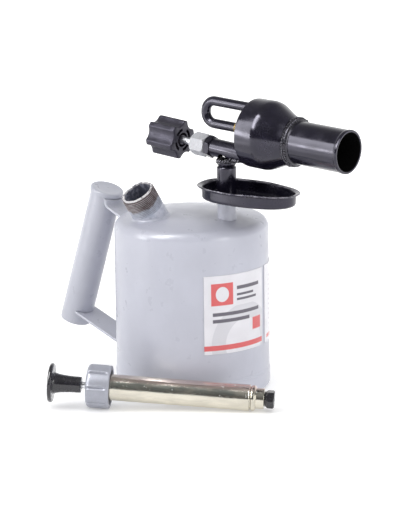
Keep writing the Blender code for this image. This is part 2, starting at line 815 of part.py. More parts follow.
def bell_points():
    """The bell's outside from the weld back to its open rear, as a turned outline."""
    weld_radius = FLAME_TUBE_RADIUS + CLEARANCE + BELL_SHEET
    shoulder = BELL_REAR + BELL_CYLINDER_LENGTH
    front = flame_tube_rear() + CLEARANCE
    toe_radius = weld_radius + BELL_TOE_RISE
    toe = front - BELL_TOE_LENGTH
    centre_r = BELL_RADIUS - BELL_SHOULDER_RADIUS
    to_toe = math.hypot(toe_radius - centre_r, toe - shoulder)
    tangent = (math.atan2(toe - shoulder, toe_radius - centre_r)
               - math.acos(BELL_SHOULDER_RADIUS / to_toe))
    points = [(weld_radius, front), (toe_radius, toe)]
    points.extend(arc(centre_r, shoulder, BELL_SHOULDER_RADIUS, tangent, 0.0))
    points.append((BELL_RADIUS, BELL_REAR))
    return points


def build_burner(frame):
    turned("flame_bell", bell_points(), "black_paint", LARGE_STEPS, sheet=BELL_SHEET,
           frame=frame, rotation=ALONG_X)

    tube_rear = flame_tube_rear()
    mouth = tube_rear + FLAME_TUBE_LENGTH
    lip_rear = mouth - FLAME_TUBE_LIP_LENGTH
    inner = FLAME_TUBE_RADIUS - FLAME_TUBE_WALL
    tube = [
        (FLAME_TUBE_RADIUS + FLAME_TUBE_LIP, mouth),
        (FLAME_TUBE_RADIUS + FLAME_TUBE_LIP, lip_rear),
        (FLAME_TUBE_RADIUS, lip_rear - FLAME_TUBE_LIP),
        (FLAME_TUBE_RADIUS, tube_rear),
        (inner, tube_rear),
        (inner, mouth),
    ]
    turned("flame_tube", tube, "black_paint", MEDIUM_STEPS, closed=True, frame=frame,
           rotation=ALONG_X)

    bead_inner = FLAME_TUBE_RADIUS + CLEARANCE
    bead_rear = tube_rear + 2 * CLEARANCE
    middle = bead_rear + WELD_BEAD_LENGTH / 2
    bead = []
    for index in range(ARC_STEPS + 1):
        angle = math.pi / 2 - math.pi * index / ARC_STEPS
        bead.append((bead_inner + WELD_BEAD_HEIGHT * math.cos(angle),
                     middle + WELD_BEAD_LENGTH / 2 * math.sin(angle)))
    turned("bell_weld_bead", bead, "black_steel", MEDIUM_STEPS, closed=True, frame=frame,
           rotation=ALONG_X)


def build_valve(frame, burner):
    collar_front = HEX_COLLAR_REAR + HEX_COLLAR_LENGTH
    spigot_rear = HEX_COLLAR_REAR - VALVE_SPIGOT_LENGTH
    body_points = [
        (0.0, VALVE_FRONT),
        (VALVE_RADIUS, VALVE_FRONT),
        (VALVE_RADIUS, collar_front - HEX_COLLAR_LENGTH / 2),
        (VALVE_SPIGOT_RADIUS, collar_front - HEX_COLLAR_LENGTH / 2),
        (VALVE_SPIGOT_RADIUS, spigot_rear),
        (0.0, spigot_rear),
    ]
    body = turned("valve_body", body_points, "black_paint", SMALL_STEPS, frame=frame,
                  rotation=ALONG_X)
    collar = hexagon("valve_hex", HEX_COLLAR_ACROSS_CORNERS, HEX_COLLAR_REAR, collar_front, None,
                     turn=HEX_COLLAR_TURN, frame=frame, rotation=ALONG_X)
    height = valve_axis_height()
    boss_low = collar_top() + CLEARANCE
    boss = pin("valve_boss", VALVE_BOSS_RADIUS, boss_low, height, None, SMALL_STEPS,
               location=(RISER_X, 0, 0))
    foot_x = (BELL_REAR + VALVE_FRONT) / 2
    foot = pin("bell_foot", BELL_FOOT_RADIUS, -BELL_RADIUS, on_valve_axis(foot_x)[2], None,
               TINY_STEPS, frame=burner, location=(foot_x, 0, 0))
    inside = BELL_RADIUS - BELL_SHEET - CLEARANCE
    bell_inside = pin("bell_inside", inside, BELL_REAR - OVERRUN, VALVE_FRONT + OVERRUN, None,
                      LARGE_STEPS, frame=burner, rotation=ALONG_X)
    boolean(foot, bell_inside, "INTERSECT")
    settle(foot)
    for extra in (collar, boss, foot):
        boolean(body, extra, "UNION")
    settle(body)

    spindle_bore = pin("spindle_bore", SPINDLE_RADIUS + 2 * CLEARANCE, spigot_rear - OVERRUN,
                       VALVE_SEAT, None, SMALL_STEPS, frame=frame, rotation=ALONG_X)
    socket_rear = VALVE_FRONT - VAPORISER_SOCKET_DEPTH
    passage = pin("valve_passage", VALVE_PASSAGE_RADIUS, VALVE_SEAT - OVERRUN, VALVE_FRONT, None,
                  TINY_STEPS, frame=frame, rotation=ALONG_X)
    socket = pin("vaporiser_socket", VAPORISER_RADIUS + CLEARANCE, socket_rear,
                 VALVE_FRONT + OVERRUN, None, SMALL_STEPS, frame=frame, rotation=ALONG_X)
    riser_hole = pin("riser_hole", RISER_SPIGOT_RADIUS + CLEARANCE, boss_low - OVERRUN,
                     riser_top() + CLEARANCE, None, SMALL_STEPS, location=(RISER_X, 0, 0))
    riser_passage = pin("riser_passage", VALVE_PASSAGE_RADIUS, riser_top() - OVERRUN, height, None,
                        TINY_STEPS, location=(RISER_X, 0, 0))
    cut(body, spindle_bore, passage, socket, riser_hole, riser_passage)


def build_gland(frame):
    front = HEX_COLLAR_REAR - CLEARANCE
    rear = front - GLAND_LENGTH
    corners = GLAND_ACROSS_FLATS / math.cos(math.pi / 6)
    nut = hexagon("gland_nut", corners, rear, front, "zinc", turn=GLAND_TURN, frame=frame,
                  rotation=ALONG_X)
    spigot_hole = pin("gland_bore", VALVE_SPIGOT_RADIUS + CLEARANCE, rear + GLAND_END_WALL,
                      front + OVERRUN, None, SMALL_STEPS, frame=frame, rotation=ALONG_X)
    rod_hole = pin("gland_rod_hole", SPINDLE_RADIUS + CLEARANCE, rear - OVERRUN, front, None,
                   SMALL_STEPS, frame=frame, rotation=ALONG_X)
    cut(nut, spigot_hole, rod_hole)
    packing_rear = rear + GLAND_END_WALL + CLEARANCE
    ring("gland_packing", VALVE_SPIGOT_RADIUS, SPINDLE_RADIUS + CLEARANCE, packing_rear,
         packing_rear + PACKING_LENGTH, "fibre", SMALL_STEPS, frame=frame, rotation=ALONG_X)
    return rear


def build_spindle(frame, gland_rear):
    """The spindle and its knob have their origins on the valve's axis."""
    knob_near = gland_rear - SPINDLE_SHOWING
    spindle_rear = knob_near - SPINDLE_IN_KNOB
    tip = VALVE_SEAT - CLEARANCE
    origin = (gland_rear, 0, 0)
    points = [
        (0.0, tip - gland_rear),
        (SPINDLE_TIP_RADIUS, tip - gland_rear),
        (SPINDLE_RADIUS, tip - SPINDLE_TIP_LENGTH - gland_rear),
        (SPINDLE_RADIUS, spindle_rear - gland_rear),
        (0.0, spindle_rear - gland_rear),
    ]
    turned("valve_spindle", points, "zinc", SMALL_STEPS, frame=frame, location=origin,
           rotation=ALONG_X)

    near = knob_near - gland_rear
    curve = bpy.data.curves.new("control_knob", "CURVE")
    curve.dimensions = "2D"
    curve.fill_mode = "BOTH"
    curve.extrude = KNOB_LENGTH / 2 - KNOB_EDGE
    curve.bevel_depth = KNOB_EDGE
    curve.bevel_resolution = 1
    spline = curve.splines.new("POLY")
    spline.use_cyclic_u = True
    spline.points.add(KNOB_OUTLINE_POINTS - 1)
    body_radius = KNOB_RADIUS / (1 + KNOB_LOBE_SHARE) - KNOB_EDGE
    for index, point in enumerate(spline.points):
        angle = math.tau * index / KNOB_OUTLINE_POINTS
        radius = body_radius * (1 + KNOB_LOBE_SHARE * math.cos(KNOB_LOBES * angle))
        point.co = (radius * math.cos(angle), radius * math.sin(angle), 0.0, 1.0)
    knob = add_object("control_knob", curve, "black_plastic", frame=frame, location=origin,
                      rotation=ALONG_X)
    knob = settle(knob)
    knob.data.transform(Matrix.Translation((0, 0, near - KNOB_LENGTH / 2)))
    bore = pin("knob_bore", SPINDLE_RADIUS + CLEARANCE, near - SPINDLE_IN_KNOB - CLEARANCE,
               near + OVERRUN, None, SMALL_STEPS, frame=frame, location=origin, rotation=ALONG_X)
    recess = pin("knob_recess", KNOB_HUB_RECESS_RADIUS, near - KNOB_HUB_RECESS, near + OVERRUN,
                 None, SMALL_STEPS, frame=frame, location=origin, rotation=ALONG_X)
    cut(knob, bore, recess)


def build_vaporiser(frame):
    """One bent pipe: from the valve, round the flame inside the bell, and back to the jet."""
    bend = (TOP_LEG_HEIGHT - JET_HEIGHT) / 2
    start = VALVE_FRONT - VAPORISER_SOCKET_DEPTH + CLEARANCE
    back = LOOP_BEND_CENTRE - bend
    crossing, _, low = on_valve_axis(VAPORISER_CROSSING)
    corners = [
        on_valve_axis(start),
        (crossing, 0, low),
        (crossing, VAPORISER_SIDESTEP, low),
        (crossing, VAPORISER_SIDESTEP, TOP_LEG_HEIGHT),
        (crossing, 0, TOP_LEG_HEIGHT),
        (back, 0, TOP_LEG_HEIGHT),
        (back, 0, JET_HEIGHT),
        (LOWER_LEG_END, 0, JET_HEIGHT),
    ]
    small = VAPORISER_BEND
    wide = bend - CLEARANCE
    path = rounded_path(corners, (small, small, small, small, wide, wide), ARC_STEPS)
    outside = round_bar("vaporiser_tube", path, VAPORISER_RADIUS, 3, "black_paint", frame=frame)
    first = path[0] - (path[1] - path[0]).normalized() * OVERRUN
    last = path[-1] + (path[-1] - path[-2]).normalized() * OVERRUN
    bore = round_bar("vaporiser_bore", [first] + path[1:-1] + [last], VAPORISER_BORE_RADIUS, 1, None,
                     frame=frame)
    cut(outside, bore)


def build_jet(frame):
    axis = (0, 0, JET_HEIGHT)
    rear = LOWER_LEG_END + CLEARANCE
    front = rear + JET_HOLDER_LENGTH
    bore = VAPORISER_BORE_RADIUS
    stub = bore - CLEARANCE
    holder = [
        (JET_HOLDER_RADIUS, front),
        (JET_HOLDER_RADIUS, rear),
        (stub, rear),
        (stub, rear - JET_HOLDER_RADIUS),
        (JET_HOLE_RADIUS * 2, rear - JET_HOLDER_RADIUS),
        (JET_HOLE_RADIUS * 2, front),
    ]
    turned("jet_holder", holder, "brass", SMALL_STEPS, closed=True, frame=frame, location=axis,
           rotation=ALONG_X)
    nipple_rear = front + CLEARANCE
    nipple = hexagon("jet_nipple", JET_NIPPLE_ACROSS_CORNERS, nipple_rear,
                     nipple_rear + JET_NIPPLE_LENGTH, "brass", frame=frame, location=axis,
                     rotation=ALONG_X)
    hole = pin("jet_hole", JET_HOLE_RADIUS, nipple_rear - OVERRUN,
               nipple_rear + JET_NIPPLE_LENGTH + OVERRUN, None, TINY_STEPS, frame=frame,
               location=axis, rotation=ALONG_X)
    cut(nipple, hole)


# Pump

def pump_tilt():
    """The pump rests on its ring nut's rim and on the barrel's far end."""
    return math.asin((RING_NUT_RADIUS - BARREL_RADIUS) / BARREL_SHOWING)


def build_ring_nut(frame):
    inside = NECK_OUTER_RADIUS + CLEARANCE
    rear = -RING_NUT_LENGTH
    points = [(RING_NUT_RADIUS, 0.0)]
    points.extend(arc(RING_NUT_RADIUS - RING_NUT_EDGE, rear + RING_NUT_EDGE, RING_NUT_EDGE,
                      0.0, -math.pi / 2, 2))
    points.append((ROD_RADIUS + CLEARANCE, rear))
    points.append((ROD_RADIUS + CLEARANCE, rear + RING_NUT_END_WALL))
    points.append((inside, rear + RING_NUT_END_WALL))
    points.append((inside, 0.0))
    nut = turned("pump_ring_nut", points, "cast_alloy", 2 * RING_NUT_GROOVES + MEDIUM_STEPS,
                 closed=True, frame=frame, rotation=ALONG_X)
    mesh = bpy.data.meshes.new("ring_nut_grooves")
    body = bmesh.new()
    length = RING_NUT_LENGTH - RING_NUT_PLAIN_RIM + OVERRUN
    reach = RING_NUT_GROOVE_DEPTH + OVERRUN
    size = (reach, RING_NUT_GROOVE_WIDTH, length)
    offset = RING_NUT_RADIUS - RING_NUT_GROOVE_DEPTH + reach / 2
    for index in range(RING_NUT_GROOVES):
        turn = Matrix.Rotation(math.tau * index / RING_NUT_GROOVES, 4, "Z")
        place = Matrix.LocRotScale((offset, 0, -RING_NUT_PLAIN_RIM - length / 2), None, size)
        bmesh.ops.create_cube(body, size=1.0, matrix=turn @ place)
    body.to_mesh(mesh)
    body.free()
    grooves = add_object("ring_nut_grooves", mesh, None, frame=frame, rotation=ALONG_X)
    cut(nut, grooves)


def barrel_head():
    """Where the barrel's flange meets the ring nut's end wall."""
    return -RING_NUT_LENGTH + RING_NUT_END_WALL + CLEARANCE


def build_barrel(frame):
    head = barrel_head()
    flange_front = head + BARREL_FLANGE_THICKNESS
    inner = BARREL_RADIUS - BARREL_WALL
    points = [
        (BARREL_RADIUS, BARREL_SHOWING),
        (BARREL_RADIUS, flange_front),
        (BARREL_FLANGE_RADIUS, flange_front),
        (BARREL_FLANGE_RADIUS, head),
        (inner, head),
        (inner, BARREL_SHOWING),
    ]
    turned("pump_barrel", points, "yellow_zinc", MEDIUM_STEPS, closed=True, frame=frame,
           rotation=ALONG_X)
    gasket_rear = flange_front + CLEARANCE
    ring("neck_gasket", BARREL_FLANGE_RADIUS, BARREL_RADIUS + CLEARANCE, gasket_rear,
         gasket_rear + GASKET_THICKNESS, "fibre", MEDIUM_STEPS, frame=frame, rotation=ALONG_X)
    guide_rear = head + CLEARANCE
    ring("rod_guide", inner - CLEARANCE, ROD_RADIUS + CLEARANCE, guide_rear,
         guide_rear + ROD_GUIDE_LENGTH, "zinc", SMALL_STEPS, frame=frame, rotation=ALONG_X)


def piston_front():
    return BARREL_SHOWING - VALVE_PLUG_DEPTH - PISTON_END_GAP


def build_plunger(frame):
    """Rod, knob and piston move together; their origins lie on the pump's axis."""
    knob_front = -RING_NUT_LENGTH - ROD_SHOWING
    knob_rear = knob_front - PLUNGER_KNOB_LENGTH
    rod_front = piston_front()
    pin("plunger_rod", ROD_RADIUS, knob_front - ROD_IN_KNOB, rod_front, "zinc", TINY_STEPS,
        frame=frame, rotation=ALONG_X)

    flange_front = knob_rear + PLUNGER_FLANGE_EDGE
    flare_end = flange_front + PLUNGER_FLARE_LENGTH
    points = [(PLUNGER_STEM_RADIUS, knob_front)]
    flare_shares = ((0.0, 1.0), (0.06, 0.62), (0.14, 0.32), (0.28, 0.0), (1.0, 0.0))
    waist = PLUNGER_STEM_RADIUS * PLUNGER_WAIST_SHARE
    spread = PLUNGER_KNOB_RADIUS - waist
    for radius_share, along_share in flare_shares:
        points.append((waist + spread * radius_share,
                       flange_front + (flare_end - flange_front) * along_share))
    edge = PLUNGER_FLANGE_EDGE / 3
    points[-1] = (PLUNGER_KNOB_RADIUS - edge, flange_front)
    points.append((PLUNGER_KNOB_RADIUS, flange_front - edge))
    points.append((PLUNGER_KNOB_RADIUS, knob_rear + edge))
    points.append((PLUNGER_KNOB_RADIUS - edge, knob_rear))
    points.append((0.0, knob_rear))
    hole = ROD_RADIUS + CLEARANCE
    hole_end = knob_front - ROD_IN_KNOB - CLEARANCE
    outline = [(0.0, hole_end), (hole, hole_end), (hole, knob_front)] + points
    turned("plunger_knob", outline, "black_plastic", MEDIUM_STEPS, frame=frame, rotation=ALONG_X)

    bore = ROD_RADIUS + CLEARANCE
    nut_front = rod_front - ROD_TAIL
    nut_rear = nut_front - PISTON_NUT_THICKNESS
    nut = hexagon("piston_nut", PISTON_NUT_ACROSS_CORNERS, nut_rear, nut_front, "zinc",
                  frame=frame, rotation=ALONG_X)
    nut_hole = pin("piston_nut_hole", bore, nut_rear - OVERRUN, nut_front + OVERRUN, None,
                   TINY_STEPS, frame=frame, rotation=ALONG_X)
    cut(nut, nut_hole)
    washer_front = nut_rear - CLEARANCE
    washer_rear = washer_front - PISTON_WASHER_THICKNESS
    ring("front_piston_washer", PISTON_WASHER_RADIUS, bore, washer_rear, washer_front, "zinc",
         SMALL_STEPS, frame=frame, rotation=ALONG_X)
    leather_rear = washer_rear - CLEARANCE - CUP_LEATHER_THICKNESS
    outer = BARREL_RADIUS - BARREL_WALL - CLEARANCE
    web_front = leather_rear + CUP_LEATHER_THICKNESS
    cup = [
        (outer, leather_rear + CUP_LEATHER_LENGTH),
        (outer, leather_rear),
        (bore, leather_rear),
        (bore, web_front),
        (outer - CUP_LEATHER_THICKNESS, web_front),
        (outer - CUP_LEATHER_THICKNESS, leather_rear + CUP_LEATHER_LENGTH),
    ]
    turned("cup_leather", cup, "leather", SMALL_STEPS, closed=True, frame=frame, rotation=ALONG_X)
    back_front = leather_rear - CLEARANCE
    ring("rear_piston_washer", PISTON_WASHER_RADIUS, bore, back_front - PISTON_WASHER_THICKNESS,
         back_front, "zinc", SMALL_STEPS, frame=frame, rotation=ALONG_X)


def build_check_valve(frame):
    """The plug in the barrel's end, its disc and spring, and the outlet cap."""
    rear = BARREL_SHOWING - VALVE_PLUG_DEPTH
    shoulder = BARREL_SHOWING + CLEARANCE
    bead_end = shoulder + END_BEAD_LENGTH
    step_end = bead_end + END_STEP_LENGTH
    plug = BARREL_RADIUS - BARREL_WALL - CLEARANCE
    chamber_floor = shoulder + CHAMBER_FLOOR
    groove = END_GROOVE_WIDTH
    half = (END_BEAD_LENGTH - 2 * groove) / 2
    points = [
        (END_STEP_RADIUS, step_end),
        (END_STEP_RADIUS, bead_end),
        (END_GROOVE_RADIUS, bead_end),
        (END_GROOVE_RADIUS, bead_end - groove / 2),
        (END_BEAD_RADIUS, bead_end - groove),
        (END_BEAD_RADIUS, bead_end - groove - 2 * half),
        (END_GROOVE_RADIUS, shoulder + groove / 2),
        (END_GROOVE_RADIUS, shoulder),
        (plug, shoulder),
        (plug, rear),
        (VALVE_PLUG_BORE_RADIUS, rear),
        (VALVE_PLUG_BORE_RADIUS, chamber_floor),
        (CHAMBER_RADIUS, chamber_floor),
        (CHAMBER_RADIUS, step_end),
    ]
    turned("check_valve_body", points, "yellow_zinc", MEDIUM_STEPS, closed=True, frame=frame,
           rotation=ALONG_X)

    disc_rear = chamber_floor + CLEARANCE
    disc_front = disc_rear + DISC_THICKNESS
    pin("check_valve_disc", DISC_RADIUS, disc_rear, disc_front, "rubber", SMALL_STEPS, frame=frame,
        rotation=ALONG_X)

    spigot_rear = step_end - OUTLET_SPIGOT_LENGTH
    low = disc_front + CLEARANCE + SPRING_WIRE_RADIUS
    high = spigot_rear - CLEARANCE - SPRING_WIRE_RADIUS
    count = round(SPRING_TURNS * SPRING_POINTS_PER_TURN)
    path = []
    for index in range(count + 1):
        angle = math.tau * index / SPRING_POINTS_PER_TURN
        along = low + (high - low) * index / count
        path.append((along, SPRING_COIL_RADIUS * math.cos(angle), SPRING_COIL_RADIUS * math.sin(angle)))
    round_bar("check_valve_spring", path, SPRING_WIRE_RADIUS, 0, "zinc", frame=frame)

    neck_rear = step_end + CLEARANCE
    hex_rear = neck_rear + OUTLET_NECK_LENGTH
    hex_front = hex_rear + OUTLET_HEX_LENGTH
    cap_points = [
        (0.0, hex_rear + OUTLET_HEX_LENGTH / 2),
        (OUTLET_NECK_RADIUS, hex_rear + OUTLET_HEX_LENGTH / 2),
        (OUTLET_NECK_RADIUS, neck_rear),
        (CHAMBER_RADIUS - CLEARANCE, neck_rear),
        (CHAMBER_RADIUS - CLEARANCE, spigot_rear),
        (0.0, spigot_rear),
    ]
    cap = turned("outlet_cap", cap_points, "black_steel", SMALL_STEPS, frame=frame, rotation=ALONG_X)
    head = hexagon("outlet_hex", OUTLET_ACROSS_CORNERS, hex_rear, hex_front, None, frame=frame,
                   rotation=ALONG_X)
    boolean(cap, head, "UNION")
    hole = pin("outlet_hole", OUTLET_HOLE_RADIUS, spigot_rear - OVERRUN, hex_front + OVERRUN, None,
               TINY_STEPS, frame=frame, rotation=ALONG_X)
    cut(cap, hole)


def build_pump():
    tilt = pump_tilt()
    ahead = heading(PUMP_HEADING)
    away = heading(PUMP_HEADING - math.pi / 2)
    spot = away * (TANK_RADIUS + PUMP_STAND_OFF) - ahead * PUMP_SLIDE_BACK
    frame = empty_frame("pump_frame", (spot.x, spot.y, RING_NUT_RADIUS * math.cos(tilt)),
                        (0.0, tilt, PUMP_HEADING))
    build_ring_nut(frame)
    build_barrel(frame)
    build_plunger(frame)
    build_check_valve(frame)


def main():
    global PARTS, CUTTERS
    clear_scene()
    PARTS = new_collection("petrol_blowlamp")
    CUTTERS = new_collection("cutters")
    make_materials()

    shell = build_tank()
    clearance = tank_clearance_cutter()
    build_neck(shell, clearance)
    build_socket(shell, clearance)
    settle(shell)
    build_pickup()
    build_label("front_label", FRONT_LABEL_START, FRONT_LABEL_SWEEP)
    build_label("side_label", SIDE_LABEL_START, SIDE_LABEL_SWEEP)
    build_handle(clearance)
    build_pan()
    build_riser()

    burner = empty_frame("burner_frame", (RISER_X, 0, burner_axis_height()),
                         (0.0, BURNER_TILT, 0.0))
    build_burner(burner)
    valve = empty_frame("valve_frame", (RISER_X, 0, valve_axis_height()), (0.0, VALVE_TILT, 0.0))
    build_valve(valve, burner)
    gland_rear = build_gland(valve)
    build_spindle(valve, gland_rear)
    build_vaporiser(burner)
    build_jet(burner)
    build_pump()


if __name__ == "__main__":
    main()
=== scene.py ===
"""The looks of a petrol blowlamp: a one litre tank with its handle, neck, pan, valve and burner,
and the hand pump laid on the ground in front of it.

Metres, +Z up. The origin is the middle of the tank's foot, and the burner points along +X.
"""

import json
import math

import bmesh
import bpy
import numpy as np
from bpy.props import FloatProperty, FloatVectorProperty, IntProperty, PointerProperty
from bpy.types import Operator, Panel, PropertyGroup
from mathutils import Matrix, Vector


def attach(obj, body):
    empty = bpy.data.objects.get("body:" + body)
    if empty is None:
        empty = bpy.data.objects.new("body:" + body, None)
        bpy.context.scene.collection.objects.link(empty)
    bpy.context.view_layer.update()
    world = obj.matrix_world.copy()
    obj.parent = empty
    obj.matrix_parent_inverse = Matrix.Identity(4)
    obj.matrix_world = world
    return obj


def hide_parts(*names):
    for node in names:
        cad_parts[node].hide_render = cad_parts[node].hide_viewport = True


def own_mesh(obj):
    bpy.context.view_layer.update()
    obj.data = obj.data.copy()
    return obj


bl_info = {
    "name": "Petrol blowlamp",
    "version": (1, 0, 0),
    "blender": (4, 5, 0),
    "location": "3D View > Sidebar > Blowlamp",
    "description": "Builds a petrol blowlamp, its loose hand pump and a studio around them",
    "category": "Add Mesh",
}

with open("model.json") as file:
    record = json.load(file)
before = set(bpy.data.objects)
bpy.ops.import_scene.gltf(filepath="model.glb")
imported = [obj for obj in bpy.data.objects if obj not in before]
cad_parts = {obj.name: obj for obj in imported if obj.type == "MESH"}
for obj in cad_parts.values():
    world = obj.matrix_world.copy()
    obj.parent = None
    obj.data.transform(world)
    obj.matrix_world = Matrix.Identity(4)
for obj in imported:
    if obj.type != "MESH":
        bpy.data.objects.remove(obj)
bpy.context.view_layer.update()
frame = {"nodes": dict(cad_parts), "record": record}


# Where the groups of pieces stand

def standing(x, y, z, heading=0.0, tilt=0.0):
    """A place turned by a heading round Z and then tilted forward, in degrees."""
    turn = Matrix.Rotation(math.radians(heading), 4, "Z")
    return Matrix.Translation((x, y, z)) @ turn @ Matrix.Rotation(math.radians(tilt), 4, "Y")


FORWARD = Matrix.Rotation(math.pi / 2, 4, "Y")
CLEARANCE = 0.0003
RISER_X = 0.0322
PAN_FLOOR = 0.140797
COLLAR_TOP = 0.16757
BELL_REAR = 0.025
VALVE_FRONT = 0.034
HANDLE_LEAN = 17.6
NECK = standing(-0.015, -0.027, 0.126351, -107.0, 31.3)
HANDLE = standing(-0.109504, 0.0, 0.032409, 0.0, HANDLE_LEAN)
RISER = standing(RISER_X, 0.0, 0.0)
PAN = standing(0.0531, -0.001, PAN_FLOOR)
BURNER = standing(RISER_X, 0.0, 0.190497, 0.0, 2.6)
VALVE = standing(RISER_X, 0.0, 0.174997, 0.0, 4.4)
PUMP = standing(-0.006217, -0.085779, 0.015123, 31.5, 3.441)
# the level direction from the tank towards the camera
LEVEL_X, LEVEL_Y = 0.616, -0.788
# where pieces turned round Z stand when their axis lies along the group's X
BURNER_AXIS, VALVE_AXIS, PUMP_AXIS = BURNER @ FORWARD, VALVE @ FORWARD, PUMP @ FORWARD


# Sizes and colours

def length(name, default, text):
    return FloatProperty(name=name, description=text, default=default, min=0.0,
                         unit="LENGTH", subtype="DISTANCE", precision=4)


def tint(name, default, text):
    return FloatVectorProperty(name=name, description=text, default=default, size=3,
                               min=0.0, max=1.0, subtype="COLOR")


class BlowlampSizes(PropertyGroup):
    tank_radius: length("Tank radius", 0.055, "Outside radius of the tank")
    tank_side_top: length("Tank side height", 0.116, "Where the straight side ends")
    shoulder_radius: length("Shoulder radius", 0.007, "Rounding between side and dome")
    dome_rise: length("Dome rise", 0.0058, "Height of the dome over its edge")
    cup_height: length("Cup height", 0.013, "Height of the pressed bottom cup")
    neck_radius: length("Neck radius", 0.01215, "Outside radius of the filler neck")
    neck_length: length("Neck length", 0.0225, "Length of the filler neck")
    thread_pitch: length("Thread pitch", 0.00122, "Pitch of the filler neck's thread")
    handle_radius: length("Handle radius", 0.0113, "Outside radius of the handle tube")
    handle_length: length("Handle length", 0.107, "Length of the handle tube with its cap")
    strap_width: length("Strap width", 0.022, "Width of the handle's straps")
    strap_thickness: length("Strap thickness", 0.0018, "Thickness of the handle's straps")
    pan_half_length: length("Pan half length", 0.041, "Half the length of the priming pan")
    pan_half_width_rear: length("Pan rear half width", 0.0252, "Half width at the pan's rear")
    pan_half_width_front: length("Pan front half width", 0.0192, "Half width at the pan's tip")
    pan_depth: length("Pan depth", 0.01, "Height of the pan's rim over its underside")
    riser_radius: length("Riser radius", 0.00695, "Outside radius of the riser")
    bell_radius: length("Bell radius", 0.0244, "Outside radius of the burner's bell")
    flame_tube_radius: length("Flame tube radius", 0.01515, "Outside radius of the mouth tube")
    valve_radius: length("Valve radius", 0.0065, "Outside radius of the valve's tube")
    gland_flats: length("Gland nut flats", 0.0143, "Width across the gland nut's flats")
    knob_radius: length("Knob radius", 0.01375, "Radius of the control knob over its lobes")
    knob_length: length("Knob length", 0.0235, "Length of the control knob")
    pipe_radius: length("Pipe radius", 0.0035, "Outside radius of the vaporiser pipe")
    ring_nut_radius: length("Ring nut radius", 0.01515, "Outside radius of the pump's ring nut")
    barrel_radius: length("Barrel radius", 0.00925, "Outside radius of the pump's barrel")
    plunger_knob_radius: length("Plunger knob radius", 0.0139, "Radius of the plunger's knob")
    knob_lobes: IntProperty(name="Knob lobes", description="Number of lobes on the control knob",
                            default=6, min=3, max=12)
    nut_grooves: IntProperty(name="Ring nut grooves", description="Number of grip grooves",
                             default=8, min=3, max=24)


class BlowlampColours(PropertyGroup):
    enamel: tint("Tank enamel", (0.515, 0.525, 0.605), "Grey enamel of the tank")
    handle_enamel: tint("Handle enamel", (0.50, 0.51, 0.58), "Grey enamel of the handle")
    neck_enamel: tint("Neck enamel", (0.40, 0.43, 0.52), "Grey enamel low on the neck")
    rust: tint("Thread rust", (0.075, 0.05, 0.052), "Rust on the neck's thread")
    film: tint("Label film", (0.76, 0.75, 0.80), "Ground of the printed film")
    print_red: tint("Label red", (0.66, 0.09, 0.095), "Red of the printed film")
    print_dark: tint("Label dark", (0.10, 0.09, 0.12), "Dark grey of the printed film")
    black_enamel: tint("Black enamel", (0.008, 0.007, 0.015), "Black enamel of the burner")
    black_steel: tint("Black steel", (0.03, 0.029, 0.034), "Blackened steel")
    phenolic: tint("Black phenolic", (0.026, 0.024, 0.033), "Moulded knobs")
    zinc: tint("Pale zinc", (0.66, 0.67, 0.70), "Pale zinc plating")
    yellow_zinc: tint("Yellow zinc", (0.66, 0.625, 0.54), "Yellow plating of the barrel")
    brass: tint("Brass", (0.62, 0.45, 0.18), "Turned brass")
    alloy: tint("Cast alloy", (0.40, 0.41, 0.47), "Cast ring nut")
    floor: tint("Floor", (0.92, 0.92, 0.92), "Floor of the studio")


# Node trees

WHITE = (1.0, 1.0, 1.0, 1.0)
LAVENDER = (0.82, 0.79, 1.0, 1.0)


def put(tree, kind, inputs=(), **settings):
    """Adds one node, with its settings, and fills or links its inputs."""
    node = tree.nodes.new(kind)
    for key, value in settings.items():
        setattr(node, key, value)
    for key, value in dict(inputs).items():
        if isinstance(value, bpy.types.NodeSocket):
            tree.links.new(value, node.inputs[key])
        else:
            node.inputs[key].default_value = value
    return node


class Shading:
    """A shader tree in the making."""

    def __init__(self, tree):
        self.tree = tree
        self.coordinates = put(tree, "ShaderNodeTexCoord").outputs

    def calculate(self, operation, *values):
        return put(self.tree, "ShaderNodeMath", enumerate(values), operation=operation).outputs[0]

    def both(self, *masks):
        result = masks[0]
        for mask in masks[1:]:
            result = self.calculate("MULTIPLY", result, mask)
        return result

    def ramp(self, value, low, high, start=0.0, end=1.0, course="LINEAR"):
        """Runs from start to end while the value runs from low to high."""
        return put(self.tree, "ShaderNodeMapRange",
                   {"Value": value, "From Min": low, "From Max": high, "To Min": start,
                    "To Max": end}, interpolation_type=course).outputs[0]

    def step(self, value, low, high, start=0.0, end=1.0):
        """The same, with soft ends."""
        return self.ramp(value, low, high, start, end, "SMOOTHSTEP")

    def band(self, value, low, high, edge):
        """One between low and high, and nought outside, with soft edges."""
        return self.both(self.step(value, low - edge, low + edge),
                         self.step(value, high - edge, high + edge, 1.0, 0.0))

    def between(self, factor, first, second):
        """A number between two others."""
        return put(self.tree, "ShaderNodeMix", {0: factor, 2: first, 3: second}).outputs[0]


